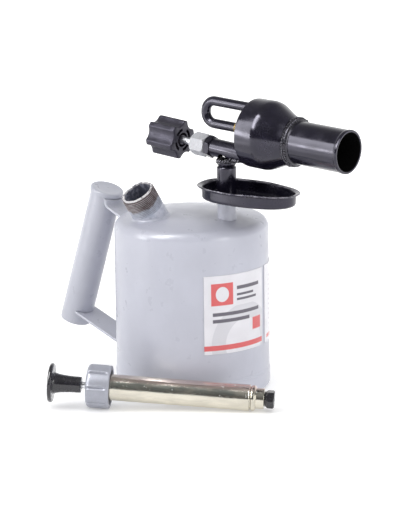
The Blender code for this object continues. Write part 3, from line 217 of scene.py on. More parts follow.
class Finish(Shading):
    """A material in the making."""

    def __init__(self, name, roughness, metallic=0.0, coat=0.0, coat_roughness=0.1, specular=0.5,
                 tint=WHITE):
        self.material = bpy.data.materials.new(name)
        self.material.use_nodes = True
        super().__init__(self.material.node_tree)
        self.shader = self.tree.nodes["Principled BSDF"]
        for socket, value in (("Metallic", metallic), ("Roughness", roughness),
                              ("Coat Weight", coat), ("Coat Roughness", coat_roughness),
                              ("Specular IOR Level", specular), ("Specular Tint", tint)):
            self.shader.inputs[socket].default_value = value

    def chart(self):
        """The piece's own chart. On a turned piece it is the distance from the axis and the
        height along it, in metres."""
        uv = put(self.tree, "ShaderNodeUVMap", uv_map="Chart").outputs[0]
        return put(self.tree, "ShaderNodeSeparateXYZ", {0: uv}).outputs[:2]

    def turned_to(self, place, stretch=(1.0, 1.0, 1.0)):
        """Object coordinates seen from a place, for patterns that follow a piece."""
        back = place.inverted()
        mapping = put(self.tree, "ShaderNodeMapping",
                      {"Vector": self.coordinates["Object"], "Location": back.to_translation(),
                       "Rotation": back.to_euler()})
        return put(self.tree, "ShaderNodeVectorMath", {0: mapping.outputs[0], 1: stretch},
                   operation="MULTIPLY").outputs[0]

    def noise(self, scale, detail=3.0, roughness=0.55, vector=None):
        return put(self.tree, "ShaderNodeTexNoise",
                   {"Vector": vector or self.coordinates["Object"], "Scale": scale,
                    "Detail": detail, "Roughness": roughness}).outputs[0]

    def mix(self, factor, first, second):
        sides = {0: factor}
        for socket, side in ((6, first), (7, second)):
            sides[socket] = side if isinstance(side, bpy.types.NodeSocket) else (*side, 1.0)
        return put(self.tree, "ShaderNodeMix", sides, data_type="RGBA").outputs[2]

    def tones(self, factor, colour, darkest, lightest):
        """A colour that varies from its darkest to its lightest shade."""
        return self.mix(factor, shade(colour, darkest), shade(colour, lightest))

    def colour(self, socket):
        self.tree.links.new(socket, self.shader.inputs["Base Color"])

    def roughness(self, socket):
        self.tree.links.new(socket, self.shader.inputs["Roughness"])

    def bump(self, *heights):
        """Bumps laid over each other, each a height and the metres that it stands for."""
        normal = None
        for height, distance in heights:
            sockets = {"Height": height, "Distance": distance, "Strength": 1.0}
            if normal is not None:
                sockets["Normal"] = normal
            normal = put(self.tree, "ShaderNodeBump", sockets).outputs[0]
        self.tree.links.new(normal, self.shader.inputs["Normal"])


def shade(colour, factor):
    return tuple(min(1.0, channel * factor) for channel in colour)


def made_once(make):
    """Keeps what a function makes, for the next piece that needs it."""
    kept = []

    def get(*given):
        if not kept:
            kept.append(make(*given))
        return kept[0]
    return get


# Finishes

def grey_enamel(name, colour):
    """Sprayed grey enamel with a fine orange peel, faint clouds and a little dust."""
    finish = Finish(name, 0.34, coat=0.25, coat_roughness=0.18)
    clouds = finish.step(finish.noise(28.0, 4.0), 0.35, 0.7)
    ground = finish.tones(clouds, colour, 0.965, 1.03)
    dust = finish.step(finish.noise(900.0, 2.0), 0.68, 0.76, 0.0, 0.06)
    marks = finish.both(finish.step(finish.noise(75.0, 5.0, 0.7), 0.62, 0.74, 0.0, 0.03), clouds)
    ground = finish.mix(marks, ground, (0.40, 0.385, 0.39))
    finish.colour(finish.mix(dust, ground, shade(colour, 0.8)))
    finish.roughness(finish.step(finish.noise(120.0), 0.3, 0.7, 0.27, 0.40))
    finish.bump((finish.noise(420.0, 2.0), 0.00007), (finish.noise(60.0, 2.0), 0.0003))
    return finish.material


@made_once
def tank_enamel(colours):
    return grey_enamel("tank enamel", colours.enamel)


@made_once
def handle_enamel(colours):
    return grey_enamel("handle enamel", colours.handle_enamel)


@made_once
def weld_enamel(colours):
    """The same enamel over smoothed weld metal."""
    finish = Finish("enamel over weld", 0.32, coat=0.3, coat_roughness=0.15)
    rough = finish.noise(190.0, 3.0, 0.5)
    finish.colour(finish.tones(finish.step(rough, 0.3, 0.65), colours.enamel, 0.9, 1.05))
    finish.bump((rough, 0.0004))
    return finish.material


@made_once
def rusty_thread(colours):
    """Enamel low on the neck, rust over its upper thread, a pale chipped rim, and the bore's inside
    painted darker as painted shade.
    """
    finish = Finish("rusty neck", 0.42)
    radius, height = finish.chart()
    drift = finish.calculate("MULTIPLY_ADD", finish.noise(140.0), 0.006, height)
    rusted = finish.step(drift, 0.0147, 0.0165)
    outside = finish.step(radius, 0.0106, 0.0110)
    fine = finish.noise(900.0, 4.0, 0.65)
    rust = finish.tones(finish.step(fine, 0.35, 0.65), colours.rust, 0.7, 1.3)
    crest = finish.step(radius, 0.01195, 0.01215)
    worn = finish.step(finish.noise(210.0, 3.0, 0.6), 0.36, 0.6, 0.15, 0.8)
    rust = finish.mix(finish.both(crest, worn), rust, (0.45, 0.42, 0.45))
    grey = finish.tones(finish.step(finish.noise(230.0, 3.0, 0.5), 0.35, 0.7),
                        colours.neck_enamel, 0.72, 1.0)
    grey = finish.mix(finish.both(crest, worn), grey, (0.55, 0.56, 0.64))
    # the inside of the bore is painted a darker grey: painted shade in the recess
    inside = finish.mix(finish.step(finish.noise(380.0, 4.0, 0.6), 0.45, 0.66),
                        (0.10, 0.105, 0.14), (0.26, 0.27, 0.34))
    ground = finish.mix(outside, inside, finish.mix(rusted, grey, rust))
    chips = finish.both(finish.step(height, 0.0213, 0.0217),
                        finish.step(finish.noise(330.0), 0.36, 0.5, 0.25))
    finish.colour(finish.mix(chips, ground, (0.66, 0.645, 0.66)))
    finish.roughness(finish.step(fine, 0.3, 0.7, 0.3, 0.55))
    finish.bump((fine, 0.0001))
    return finish.material


def stove_enamel(name, colour, dusty, frosted=0.0):
    """Glossy black enamel, a little uneven, with dust caught in it and frosty patches."""
    finish = Finish(name, 0.16, coat=0.3, coat_roughness=0.12, tint=LAVENDER)
    ground = finish.tones(finish.step(finish.noise(60.0), 0.35, 0.7), colour, 0.7, 1.2)
    frost = finish.both(finish.step(finish.noise(130.0, 4.0, 0.6), 0.42, 0.66, 0.0, frosted),
                        finish.step(finish.noise(900.0, 3.0, 0.6), 0.42, 0.62))
    ground = finish.mix(frost, ground, (0.11, 0.105, 0.13))
    specks = finish.both(finish.step(finish.noise(1500.0, 2.0), 0.68, 0.76),
                         finish.step(finish.noise(90.0, 3.0), 0.5, 0.68, 0.0, dusty))
    finish.ground = finish.mix(specks, ground, (0.20, 0.19, 0.22))
    finish.colour(finish.ground)
    finish.roughness(finish.step(finish.noise(110.0, 2.0), 0.3, 0.75, 0.14, 0.28))
    finish.bump((finish.noise(300.0, 2.0), 0.00003), (finish.noise(48.0, 1.0), 0.0003))
    return finish


@made_once
def burner_black(colours):
    return stove_enamel("burner black", colours.black_enamel, 0.35).material


@made_once
def bell_black(colours):
    return stove_enamel("bell black", colours.black_enamel, 0.5, 0.14).material


@made_once
def pan_black(colours):
    """The same enamel with its rim painted pale in patches: a painted highlight along the rim's
    edge, with wear.
    """
    finish = stove_enamel("pan black", colours.black_enamel, 0.7, 0.08)
    height = finish.chart()[1]
    # the top of the rim is painted pale in patches: painted highlight, with wear
    rim_highlight_and_wear = finish.both(finish.step(height, 0.0086, 0.0094),
                         finish.step(finish.noise(150.0, 4.0, 0.6), 0.40, 0.62))
    finish.colour(finish.mix(rim_highlight_and_wear, finish.ground, (0.24, 0.23, 0.26)))
    return finish.material


@made_once
def weld_black(colours):
    """Black enamel over a rippled weld, painted lighter on its crests: a painted highlight on the
    ripples, with wear.
    """
    finish = Finish("black weld", 0.2, coat=0.4, tint=LAVENDER)
    rough = finish.noise(420.0, 3.0, 0.6)
    # the crests of the bump are painted lighter: painted highlight, with wear
    finish.colour(finish.mix(finish.step(rough, 0.6, 0.75), shade(colours.black_steel, 0.6),
                             (0.03, 0.027, 0.037)))
    finish.roughness(finish.step(rough, 0.3, 0.7, 0.14, 0.3))
    finish.bump((rough, 0.00015))
    return finish.material


@made_once
def sooty_black():
    """The mouth's inside: soot over scaled steel."""
    finish = Finish("soot", 0.85, specular=0.05)
    finish.colour(finish.mix(finish.noise(260.0, 4.0), (0.001, 0.001, 0.001),
                             (0.005, 0.0045, 0.0045)))
    finish.bump((finish.noise(700.0, 4.0), 0.0003))
    return finish.material


@made_once
def moulded_phenolic(colours):
    """Moulded black resin, softly glossy, with a grey bloom."""
    finish = Finish("moulded phenolic", 0.38, tint=LAVENDER)
    bloom = finish.step(finish.noise(95.0, 4.0, 0.65), 0.35, 0.7)
    ground = finish.tones(bloom, colours.phenolic, 0.85, 1.45)
    dust = finish.step(finish.noise(2600.0, 2.0), 0.68, 0.76, 0.0, 0.25)
    finish.colour(finish.mix(dust, ground, (0.12, 0.115, 0.14)))
    finish.roughness(finish.step(finish.noise(300.0), 0.3, 0.7, 0.3, 0.46))
    finish.bump((finish.noise(1300.0, 3.0), 0.00006))
    return finish.material


@made_once
def polished_phenolic(colours):
    """The plunger's knob: the same resin, rubbed to a shine."""
    finish = Finish("polished phenolic", 0.2, coat=0.6)
    bloom = finish.step(finish.noise(80.0, 4.0, 0.6), 0.35, 0.7)
    finish.colour(finish.tones(bloom, colours.phenolic, 0.45, 0.8))
    finish.roughness(finish.step(finish.noise(260.0), 0.3, 0.7, 0.18, 0.32))
    finish.bump((finish.noise(300.0, 3.0), 0.00002))
    return finish.material


def plated(name, colour, roughness, spread):
    """Plated turned metal with fine cloudy mottling."""
    finish = Finish(name, roughness, metallic=1.0)
    fine = finish.noise(480.0, 5.0, 0.7)
    finish.colour(finish.tones(finish.step(fine, 0.3, 0.7), colour, 1.0 - spread, 1.0 + spread))
    finish.roughness(finish.step(finish.noise(230.0, 4.0), 0.3, 0.7, roughness * 0.75,
                                 roughness * 1.3))
    finish.bump((fine, 0.00008))
    return finish.material


@made_once
def pale_zinc(colours):
    return plated("pale zinc", colours.zinc, 0.34, 0.12)


@made_once
def turned_brass(colours):
    return plated("turned brass", shade(colours.brass, 0.3), 0.45, 0.15)


@made_once
def wire_gauze():
    return plated("wire gauze", (0.55, 0.50, 0.38), 0.45, 0.25)


@made_once
def gland_zinc():
    """Dull bright zinc with a sugary surface."""
    finish = Finish("gland zinc", 0.45, metallic=0.15)
    fine = finish.noise(1300.0, 4.0, 0.75)
    finish.colour(finish.mix(finish.step(fine, 0.35, 0.7), (0.46, 0.46, 0.49), (0.62, 0.63, 0.665)))
    finish.roughness(finish.step(fine, 0.3, 0.7, 0.36, 0.58))
    finish.bump((fine, 0.00018), (finish.noise(260.0, 3.0), 0.0002))
    return finish.material


@made_once
def cast_alloy(colours):
    """Die cast alloy, matt and faintly bruised."""
    finish = Finish("cast alloy", 0.42, metallic=0.3)
    fine = finish.noise(700.0, 4.0, 0.65)
    clouds = finish.step(finish.noise(130.0, 3.0), 0.35, 0.7)
    ground = finish.tones(finish.step(fine, 0.32, 0.7), colours.alloy, 0.94, 1.05)
    finish.colour(finish.mix(finish.both(clouds, 0.5), ground, shade(colours.alloy, 0.86)))
    finish.roughness(finish.step(fine, 0.3, 0.7, 0.32, 0.48))
    finish.bump((fine, 0.00005), (finish.noise(120.0, 3.0), 0.0002))
    return finish.material


@made_once
def yellow_zinc(colours):
    """Faintly yellow zinc: mirror bright, streaked along the tube, mottled and flecked, with olive
    blotches and a rosy flush painted on its upper side as a painted reflection.
    """
    finish = Finish("yellow zinc", 0.2, metallic=1.0)
    along = finish.turned_to(PUMP, (0.16, 1.0, 1.0))
    streak = finish.noise(260.0, 5.0, 0.65, along)
    blotch = finish.noise(85.0, 5.0, 0.7, finish.turned_to(PUMP, (0.45, 1.0, 1.0)))
    top_reflection_noise = finish.noise(40.0, 2.0, 0.5, finish.turned_to(PUMP, (0.5, 1.0, 1.0)))
    over_axis = put(finish.tree, "ShaderNodeSeparateXYZ", {0: finish.turned_to(PUMP)}).outputs[2]
    # olive blotches on the upper half only and a rosy flush over the top: painted reflection, the
    # blotches also mottled like a stain
    upper = finish.step(over_axis, 0.0, 0.003)
    stain_and_top_reflection = finish.both(finish.step(blotch, 0.45, 0.66, 0.0, 0.75), upper)
    rosy_top_reflection = finish.both(finish.step(over_axis, 0.0055, 0.0075),
                       finish.step(top_reflection_noise, 0.42, 0.6, 0.2, 0.8))
    chips = finish.both(finish.step(finish.noise(520.0, 4.0, 0.7), 0.6, 0.68),
                        finish.step(finish.noise(110.0), 0.5, 0.62), upper)
    ground = finish.tones(finish.step(streak, 0.3, 0.7), colours.yellow_zinc, 0.86, 1.1)
    for mask, colour in ((stain_and_top_reflection, (0.36, 0.40, 0.37)), (rosy_top_reflection, (0.74, 0.58, 0.54)),
                         (chips, (0.80, 0.83, 0.80))):
        ground = finish.mix(mask, ground, colour)
    finish.colour(ground)
    rough = finish.step(streak, 0.3, 0.75, 0.12, 0.26)
    finish.roughness(finish.calculate("MULTIPLY_ADD", chips, 0.3, rough))
    finish.bump((blotch, 0.00012), (finish.noise(900.0, 3.0, 0.6, along), 0.00004))
    return finish.material


def plain_solid(name, dark, light, roughness, scale):
    """A soft or fibrous stuff of the inner pieces."""
    finish = Finish(name, roughness)
    grain = finish.noise(scale, 5.0, 0.7)
    finish.colour(finish.mix(grain, dark, light))
    finish.bump((grain, 0.0002))
    return finish.material


@made_once
def vulcanised_fibre():
    return plain_solid("vulcanised fibre", (0.22, 0.07, 0.04), (0.44, 0.18, 0.10), 0.75, 900.0)


@made_once
def oiled_leather():
    return plain_solid("oiled leather", (0.12, 0.06, 0.03), (0.28, 0.16, 0.08), 0.7, 1200.0)


@made_once
def petrol_rubber():
    return plain_solid("petrol proof rubber", (0.018, 0.018, 0.018), (0.05, 0.05, 0.05), 0.7, 800.0)


class Film(Finish):
    """A printed film, charted by the share along it and the share up it."""

    def __init__(self, name, colours):
        super().__init__(name, 0.22, coat=0.6, coat_roughness=0.08)
        self.across, self.up = self.chart()
        clouds = self.step(self.noise(60.0), 0.35, 0.7)
        self.ground = self.tones(clouds, colours.film, 0.95, 1.02)
        self.bump((self.noise(70.0, 2.0), 0.0002))

    def block(self, left, right, low, high, edge=0.004):
        return self.both(self.band(self.across, left, right, edge),
                         self.band(self.up, low, high, edge))

    def ring(self, across, up, radius, width):
        """A ring, or a disc where the width is the radius."""
        sideways = self.calculate("SUBTRACT", self.across, across)
        upwards = self.calculate("SUBTRACT", self.up, up)
        squares = self.calculate("MULTIPLY_ADD", upwards, upwards, self.both(sideways, sideways))
        return self.band(self.calculate("SQRT", squares), radius - width, radius, 0.004)

    def printed(self, mask, colour, strength=1.0):
        if strength < 1.0:
            mask = self.both(mask, strength)
        self.ground = self.mix(mask, self.ground, colour)
        self.colour(self.ground)


@made_once
def front_film(colours):
    """A generic print: a pale wheel, a red square with a white disc, dark bars and a red rule."""
    film = Film("front film", colours)
    wheel = film.both(film.ring(0.62, 0.10, 0.52, 0.20), film.band(film.up, -1.0, 0.60, 0.004))
    film.printed(wheel, (0.52, 0.52, 0.57), 0.5)
    square = film.block(0.10, 0.42, 0.62, 0.90)
    film.printed(square, colours.print_red)
    film.printed(film.both(film.ring(0.26, 0.76, 0.095, 0.095), square), shade(colours.film, 0.97))
    for bar in ((0.48, 0.90, 0.80, 0.845), (0.48, 0.78, 0.72, 0.75), (0.48, 0.84, 0.66, 0.69),
                (0.12, 0.90, 0.485, 0.53), (0.12, 0.70, 0.40, 0.445)):
        film.printed(film.block(*bar), colours.print_dark)
    film.printed(film.block(0.76, 0.94, 0.245, 0.40, 0.01), colours.print_red)
    film.printed(film.block(-1.0, 0.985, 0.05, 0.115), colours.print_red)
    return film.material


@made_once
def side_film(colours):
    """The second film: a white sheet with rows of pale grey bars and a red rule."""
    film = Film("side film", colours)
    rows = film.calculate("MODULO", film.both(film.up, 16.0), 1.0)
    bars = film.both(film.band(rows, 0.3, 0.62, 0.05), film.block(0.16, 0.8, 0.2, 0.86, 0.003))
    film.printed(bars, (0.45, 0.45, 0.5), 0.6)
    film.printed(film.block(0.06, 0.94, 0.055, 0.105), colours.print_red)
    return film.material


# Meshes

def tidy(mesh, angle=35.0, recalculate=True):
    """Merges doubles, turns faces outward, and shades smooth but for real edges."""
    body = bmesh.new()
    body.from_mesh(mesh)
    bmesh.ops.remove_doubles(body, verts=body.verts, dist=0.000002)
    bmesh.ops.dissolve_degenerate(body, edges=body.edges, dist=0.000001)
    if recalculate:
        bmesh.ops.recalc_face_normals(body, faces=body.faces)
    body.to_mesh(mesh)
    body.free()
    mesh.shade_smooth()
    mesh.set_sharp_from_angle(angle=math.radians(angle))
    return mesh


def skin(grid, charts=None, wrap=(True, True), caps=False, angle=35.0):
    """A mesh over a grid of points, rings by points. Charts, if any, hold a pair for each."""
    rings, count = grid.shape[:2]
    vertices = grid.reshape(-1, 3)
    faces = []
    for ring in range(rings if wrap[0] else rings - 1):
        after = (ring + 1) % rings
        for point in range(count if wrap[1] else count - 1):
            beside = (point + 1) % count
            faces.append((ring * count + point, ring * count + beside,
                          after * count + beside, after * count + point))
    if caps:
        faces.append(tuple(range(count)))
        faces.append(tuple(range((rings - 1) * count, rings * count)))
    mesh = bpy.data.meshes.new("skin")
    mesh.from_pydata(vertices.tolist(), [], faces)
    if charts is not None:
        set_chart(mesh, charts.reshape(-1, 2))
    return tidy(mesh, angle)


def revolve(profile, place=Matrix(), segments=96, closed=False, shape=None, angle=35.0):
    """A turned mesh. A shape, where given, changes radius and height by the angle round."""
    points = np.array(profile, float)
    around = np.arange(segments) * math.tau / segments
    radius = np.repeat(points[:, :1], segments, axis=1)
    height = np.repeat(points[:, 1:2], segments, axis=1)
    charts = np.stack([radius, height], axis=-1)
    if shape is not None:
        radius, height = shape(radius, height, around[None, :])
    grid = np.stack([radius * np.cos(around), radius * np.sin(around), height], axis=-1)
    mesh = skin(grid, charts, wrap=(closed, True), angle=angle)
    mesh.transform(place)
    return mesh


def rod(radius, low, high, place, segments=48):
    return revolve([(0.0, low), (radius, low), (radius, high), (0.0, high)], place, segments)


def rounded(*corners, closed=False, steps=5):
    """A profile from corners (radius, height, rounding), with the roundings drawn in."""
    count = len(corners)
    points = []
    for index, corner in enumerate(corners):
        here = Vector(corner[:2])
        rounding = corner[2] if len(corner) > 2 else 0.0
        if rounding == 0.0 or (not closed and index in (0, count - 1)):
            points.append(tuple(here))
            continue
        back = Vector(corners[index - 1][:2]) - here
        ahead = Vector(corners[(index + 1) % count][:2]) - here
        half = back.angle(ahead) / 2
        if half > math.radians(89.0):
            points.append(tuple(here))
            continue
        reach = min(rounding / math.tan(half), back.length * 0.49, ahead.length * 0.49)
        radius = reach * math.tan(half)
        middle = (back.normalized() + ahead.normalized()).normalized()
        centre = here + middle * (radius / math.sin(half))
        start = here + back.normalized() * reach - centre
        end = here + ahead.normalized() * reach - centre
        turn = start.angle_signed(end)
        for step in range(steps + 1):
            spoke = Matrix.Rotation(-turn * step / steps, 2) @ start
            points.append(tuple(centre + spoke))
    return points


def arc(centre_r, centre_z, radius, start, end, steps=8):
    """Points on an arc in a profile's plane, by degrees from the outward direction."""
    angles = np.radians(np.linspace(start, end, steps + 1))
    return [(centre_r + radius * math.cos(a), centre_z + radius * math.sin(a)) for a in angles]


def hexagonal(flats, turn=0.0):
    """Cuts a turned shape down to a hexagon with its first flat at the turn."""
    def shape(radius, height, around):
        local = (around - math.radians(turn) + math.pi / 6) % (math.pi / 3) - math.pi / 6
        return np.minimum(radius, flats / 2 / np.cos(local)), height
    return shape


ACROSS_FLATS = math.cos(math.pi / 6)


def chamfered_hexagon(flats, low, high, place, slant=0.0012, hole=0.0, turn=0.0):
    """A hexagon nut with turned chamfers at both ends."""
    corner = flats / 2 / ACROSS_FLATS
    inset = corner - flats / 2 * 0.97
    rows = np.linspace(0.0, 1.0, 6)
    bottom = [(corner - inset * (1 - t), low + slant * t) for t in rows]
    top = [(corner - inset * t, high - slant * (1 - t)) for t in rows]
    profile = [(hole, low)] + bottom + top + [(hole, high)]
    return revolve(profile, place, 180, closed=hole > 0, shape=hexagonal(flats, turn), angle=25.0)


def work_piece(mesh):
    """A passing object for a mesh, to put modifiers on."""
    piece = bpy.data.objects.new("work", mesh)
    bpy.context.scene.collection.objects.link(piece)
    return piece


def combine(mesh, others, operation, angle=35.0):
    """The mesh with others cut from it or joined to it."""
    piece = work_piece(mesh)
    extras = [work_piece(other) for other in others]
    for extra in extras:
        modifier = piece.modifiers.new("Boolean", "BOOLEAN")
        modifier.operation = operation
        modifier.object = extra
        modifier.solver = "EXACT"
    bpy.context.view_layer.update()
    seen = piece.evaluated_get(bpy.context.evaluated_depsgraph_get())
    result = bpy.data.meshes.new_from_object(seen)
    for item in [piece] + extras:
        bpy.data.objects.remove(item)
    return tidy(result, angle, recalculate=False)


def joined(*meshes):
    """Several meshes as one."""
    body = bmesh.new()
    for mesh in meshes:
        body.from_mesh(mesh)
    result = bpy.data.meshes.new("joined")
    body.to_mesh(result)
    body.free()
    result.shade_smooth()
    result.set_sharp_from_angle(angle=math.radians(35.0))
    return result


def vertex_places(mesh):
    places = np.zeros(len(mesh.vertices) * 3, np.float32)
    mesh.vertices.foreach_get("co", places)
    return places.reshape(-1, 3)


def set_chart(mesh, charts):
    """Gives each corner of the mesh its vertex's chart value."""
    layer = mesh.uv_layers.get("Chart") or mesh.uv_layers.new(name="Chart")
    corners = np.zeros(len(mesh.loops), np.int32)
    mesh.loops.foreach_get("vertex_index", corners)
    layer.data.foreach_set("uv", charts[corners].astype(np.float32).ravel())


def path_mesh(points, closed=False):
    """A guide line for a geometry tree."""
    mesh = bpy.data.meshes.new("guide")
    edges = [(index, index + 1) for index in range(len(points) - 1)]
    if closed:
        edges.append((len(points) - 1, 0))
    mesh.from_pydata([tuple(point) for point in points], edges, [])
    return mesh


# Geometry trees

def new_tree(name, *inputs):
    """A geometry tree with a guide as its first input, named sizes after it, and a material."""
    tree = bpy.data.node_groups.new(name, "GeometryNodeTree")
    tree.interface.new_socket("Geometry", in_out="OUTPUT", socket_type="NodeSocketGeometry")
    tree.interface.new_socket("Guide", in_out="INPUT", socket_type="NodeSocketGeometry")
    for label, kind, default in inputs:
        socket = tree.interface.new_socket(label, in_out="INPUT", socket_type="NodeSocket" + kind)
        socket.default_value = default
    tree.interface.new_socket("Material", in_out="INPUT", socket_type="NodeSocketMaterial")
    return tree, put(tree, "NodeGroupInput").outputs


def close_tree(tree, geometry, material):
    """Ends a tree: real meshes, smooth, with their material."""
    real = put(tree, "GeometryNodeRealizeInstances", {"Geometry": geometry}).outputs[0]
    smooth = put(tree, "GeometryNodeSetShadeSmooth", {"Geometry": real}).outputs[0]
    named = put(tree, "GeometryNodeSetMaterial", {"Geometry": smooth, "Material": material})
    put(tree, "NodeGroupOutput", {0: named.outputs[0]})
    return tree


@made_once
def pipe_tree():
    """A round pipe along a guide."""
    tree, given = new_tree("Bent pipe", ("Radius", "Float", 0.0035), ("Sides", "Int", 32))
    curve = put(tree, "GeometryNodeMeshToCurve", {"Mesh": given["Guide"]}).outputs[0]
    ring = put(tree, "GeometryNodeCurvePrimitiveCircle",
               {"Resolution": given["Sides"], "Radius": given["Radius"]}).outputs[0]
    pipe = put(tree, "GeometryNodeCurveToMesh",
               {"Curve": curve, "Profile Curve": ring, "Fill Caps": True}).outputs[0]
    return close_tree(tree, pipe, given["Material"])


@made_once
def weld_tree():
    """A run of overlapping weld ripples along a guide."""
    tree, given = new_tree("Weld run", ("Spacing", "Float", 0.0012),
                           ("Ripple size", "Vector", (0.001, 0.002, 0.001)),
                           ("Slant", "Float", 0.3), ("Unevenness", "Float", 0.2),
                           ("Seed", "Int", 1))
    curve = put(tree, "GeometryNodeMeshToCurve", {"Mesh": given["Guide"]}).outputs[0]
    points = put(tree, "GeometryNodeResampleCurve", {"Curve": curve, "Length": given["Spacing"]},
                 mode="LENGTH").outputs[0]
    ripple = put(tree, "GeometryNodeMeshUVSphere",
                 {"Segments": 12, "Rings": 8, "Radius": 1.0}).outputs[0]
    tangent = put(tree, "GeometryNodeInputTangent").outputs[0]
    normal = put(tree, "GeometryNodeInputNormal").outputs[0]
    along = put(tree, "FunctionNodeAlignRotationToVector", {"Vector": tangent}, axis="X")
    upright = put(tree, "FunctionNodeAlignRotationToVector",
                  {"Rotation": along.outputs[0], "Vector": normal}, axis="Z", pivot_axis="X")
    slant = put(tree, "ShaderNodeCombineXYZ", {"Z": given["Slant"]}).outputs[0]
    turn = put(tree, "FunctionNodeEulerToRotation", {0: slant}).outputs[0]
    rotation = put(tree, "FunctionNodeRotateRotation",
                   {"Rotation": upright.outputs[0], "Rotate By": turn}, rotation_space="LOCAL")
    low = put(tree, "ShaderNodeMath", {0: 1.0, 1: given["Unevenness"]}, operation="SUBTRACT")
    high = put(tree, "ShaderNodeMath", {0: 1.0, 1: given["Unevenness"]}, operation="ADD")
    random = put(tree, "FunctionNodeRandomValue", {"Min": low.outputs[0], "Max": high.outputs[0],
                                                   "Seed": given["Seed"]}, data_type="FLOAT")
    shares = [socket for socket in random.outputs if socket.enabled]
    scale = put(tree, "ShaderNodeVectorMath", {0: given["Ripple size"], 1: shares[0]},
                operation="MULTIPLY").outputs[0]
    run = put(tree, "GeometryNodeInstanceOnPoints",
              {"Points": points, "Instance": ripple, "Rotation": rotation.outputs[0],
               "Scale": scale}).outputs[0]
    return close_tree(tree, run, given["Material"])


@made_once
def thread_tree():
    """A screw thread standing on Z, wound upward from the origin."""
    tree, given = new_tree("Screw thread", ("Radius", "Float", 0.012), ("Turns", "Float", 10.0),
                           ("Height", "Float", 0.01), ("Ridge", "Float", 0.0005),
                           ("Points per turn", "Int", 72))
    spiral = put(tree, "GeometryNodeCurveSpiral",
                 {"Resolution": given["Points per turn"], "Rotations": given["Turns"],
                  "Start Radius": given["Radius"], "End Radius": given["Radius"],
                  "Height": given["Height"], "Reverse": True}).outputs[0]
    upright = put(tree, "GeometryNodeSetCurveNormal", {"Curve": spiral}, mode="Z_UP").outputs[0]
    ridge = put(tree, "GeometryNodeCurvePrimitiveCircle",
                {"Resolution": 4, "Radius": given["Ridge"]}).outputs[0]
    thread = put(tree, "GeometryNodeCurveToMesh",
                 {"Curve": upright, "Profile Curve": ridge, "Fill Caps": True}).outputs[0]
    return close_tree(tree, thread, given["Material"])


def grow(tree, guide, values):
    """The plain mesh that a geometry tree makes on a guide."""
    holder = work_piece(guide)
    modifier = holder.modifiers.new("Nodes", "NODES")
    modifier.node_group = tree
    for item in tree.interface.items_tree:
        if item.in_out == "INPUT" and item.name in values:
            modifier[item.identifier] = values[item.name]
    bpy.context.view_layer.update()
    seen = holder.evaluated_get(bpy.context.evaluated_depsgraph_get())
    result = bpy.data.meshes.new_from_object(seen)
    bpy.data.objects.remove(holder)
    return result


def weld_run(points, material, spacing, ripple, slant, unevenness, seed, closed=False):
    return grow(weld_tree(), path_mesh(points, closed),
                {"Spacing": spacing, "Ripple size": ripple, "Slant": slant,
                 "Unevenness": unevenness, "Seed": seed, "Material": material})


def weld_ring(place, radius, height, material, *run, count=48):
    """A weld run round a tube that stands at a place."""
    points = [place @ Vector((radius * math.cos(a), radius * math.sin(a), height))
              for a in np.linspace(0.0, math.tau, count, endpoint=False)]
    return weld_run(points, material, *run, closed=True)


# Pieces on their bodies

RECORD = frame["record"]
BODY_OF = {node: body for body, nodes in RECORD["behaviour"]["bodies"].items() for node in nodes}


def show(name, mesh, material, node, stands_for=True):
    """Puts a finished mesh on the body of a CAD node, in the node's place or beside it."""
    mesh.name = name
    mesh.materials.clear()
    mesh.materials.append(material)
    for face in mesh.polygons:
        face.material_index = 0
    piece = bpy.data.objects.new(name, mesh)
    bpy.context.scene.collection.objects.link(piece)
    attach(piece, BODY_OF[node])
    if stands_for:
        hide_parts(node)
    return piece


def dress(material, *nodes):
    """Gives CAD nodes whose shape is right a better material."""
    for node in nodes:
        piece = frame["nodes"][node]
        piece.data.materials.clear()
        piece.data.materials.append(material)


# Tank

def dome_edge(sizes):
    angle = math.radians(76.0)
    return (sizes.tank_radius - sizes.shoulder_radius + sizes.shoulder_radius * math.cos(angle),
            sizes.tank_side_top + sizes.shoulder_radius * math.sin(angle))


def dome_height(sizes, radius):
    """The height of the dome's outside at a distance from the tank's axis."""
    edge_radius, edge_height = dome_edge(sizes)
    return edge_height + sizes.dome_rise * (1 - (radius / edge_radius) ** 2)


def tank_top(sizes, offset=0.0, rows=26):
    """The dome and shoulder, from the axis outward."""
    edge_radius = dome_edge(sizes)[0]
    points = [(edge_radius * row / rows, dome_height(sizes, edge_radius * row / rows) + offset)
              for row in range(rows)]
    points += arc(sizes.tank_radius - sizes.shoulder_radius, sizes.tank_side_top,
                  sizes.shoulder_radius + offset, 76.0, 0.0, 14)
    return points


def tank_outside(sizes, offset):
    """A solid with the tank's outside, for trimming what is welded on."""
    points = tank_top(sizes, offset) + [(sizes.tank_radius + offset, 0.0), (0.0, 0.0)]
    return revolve(points, segments=192)


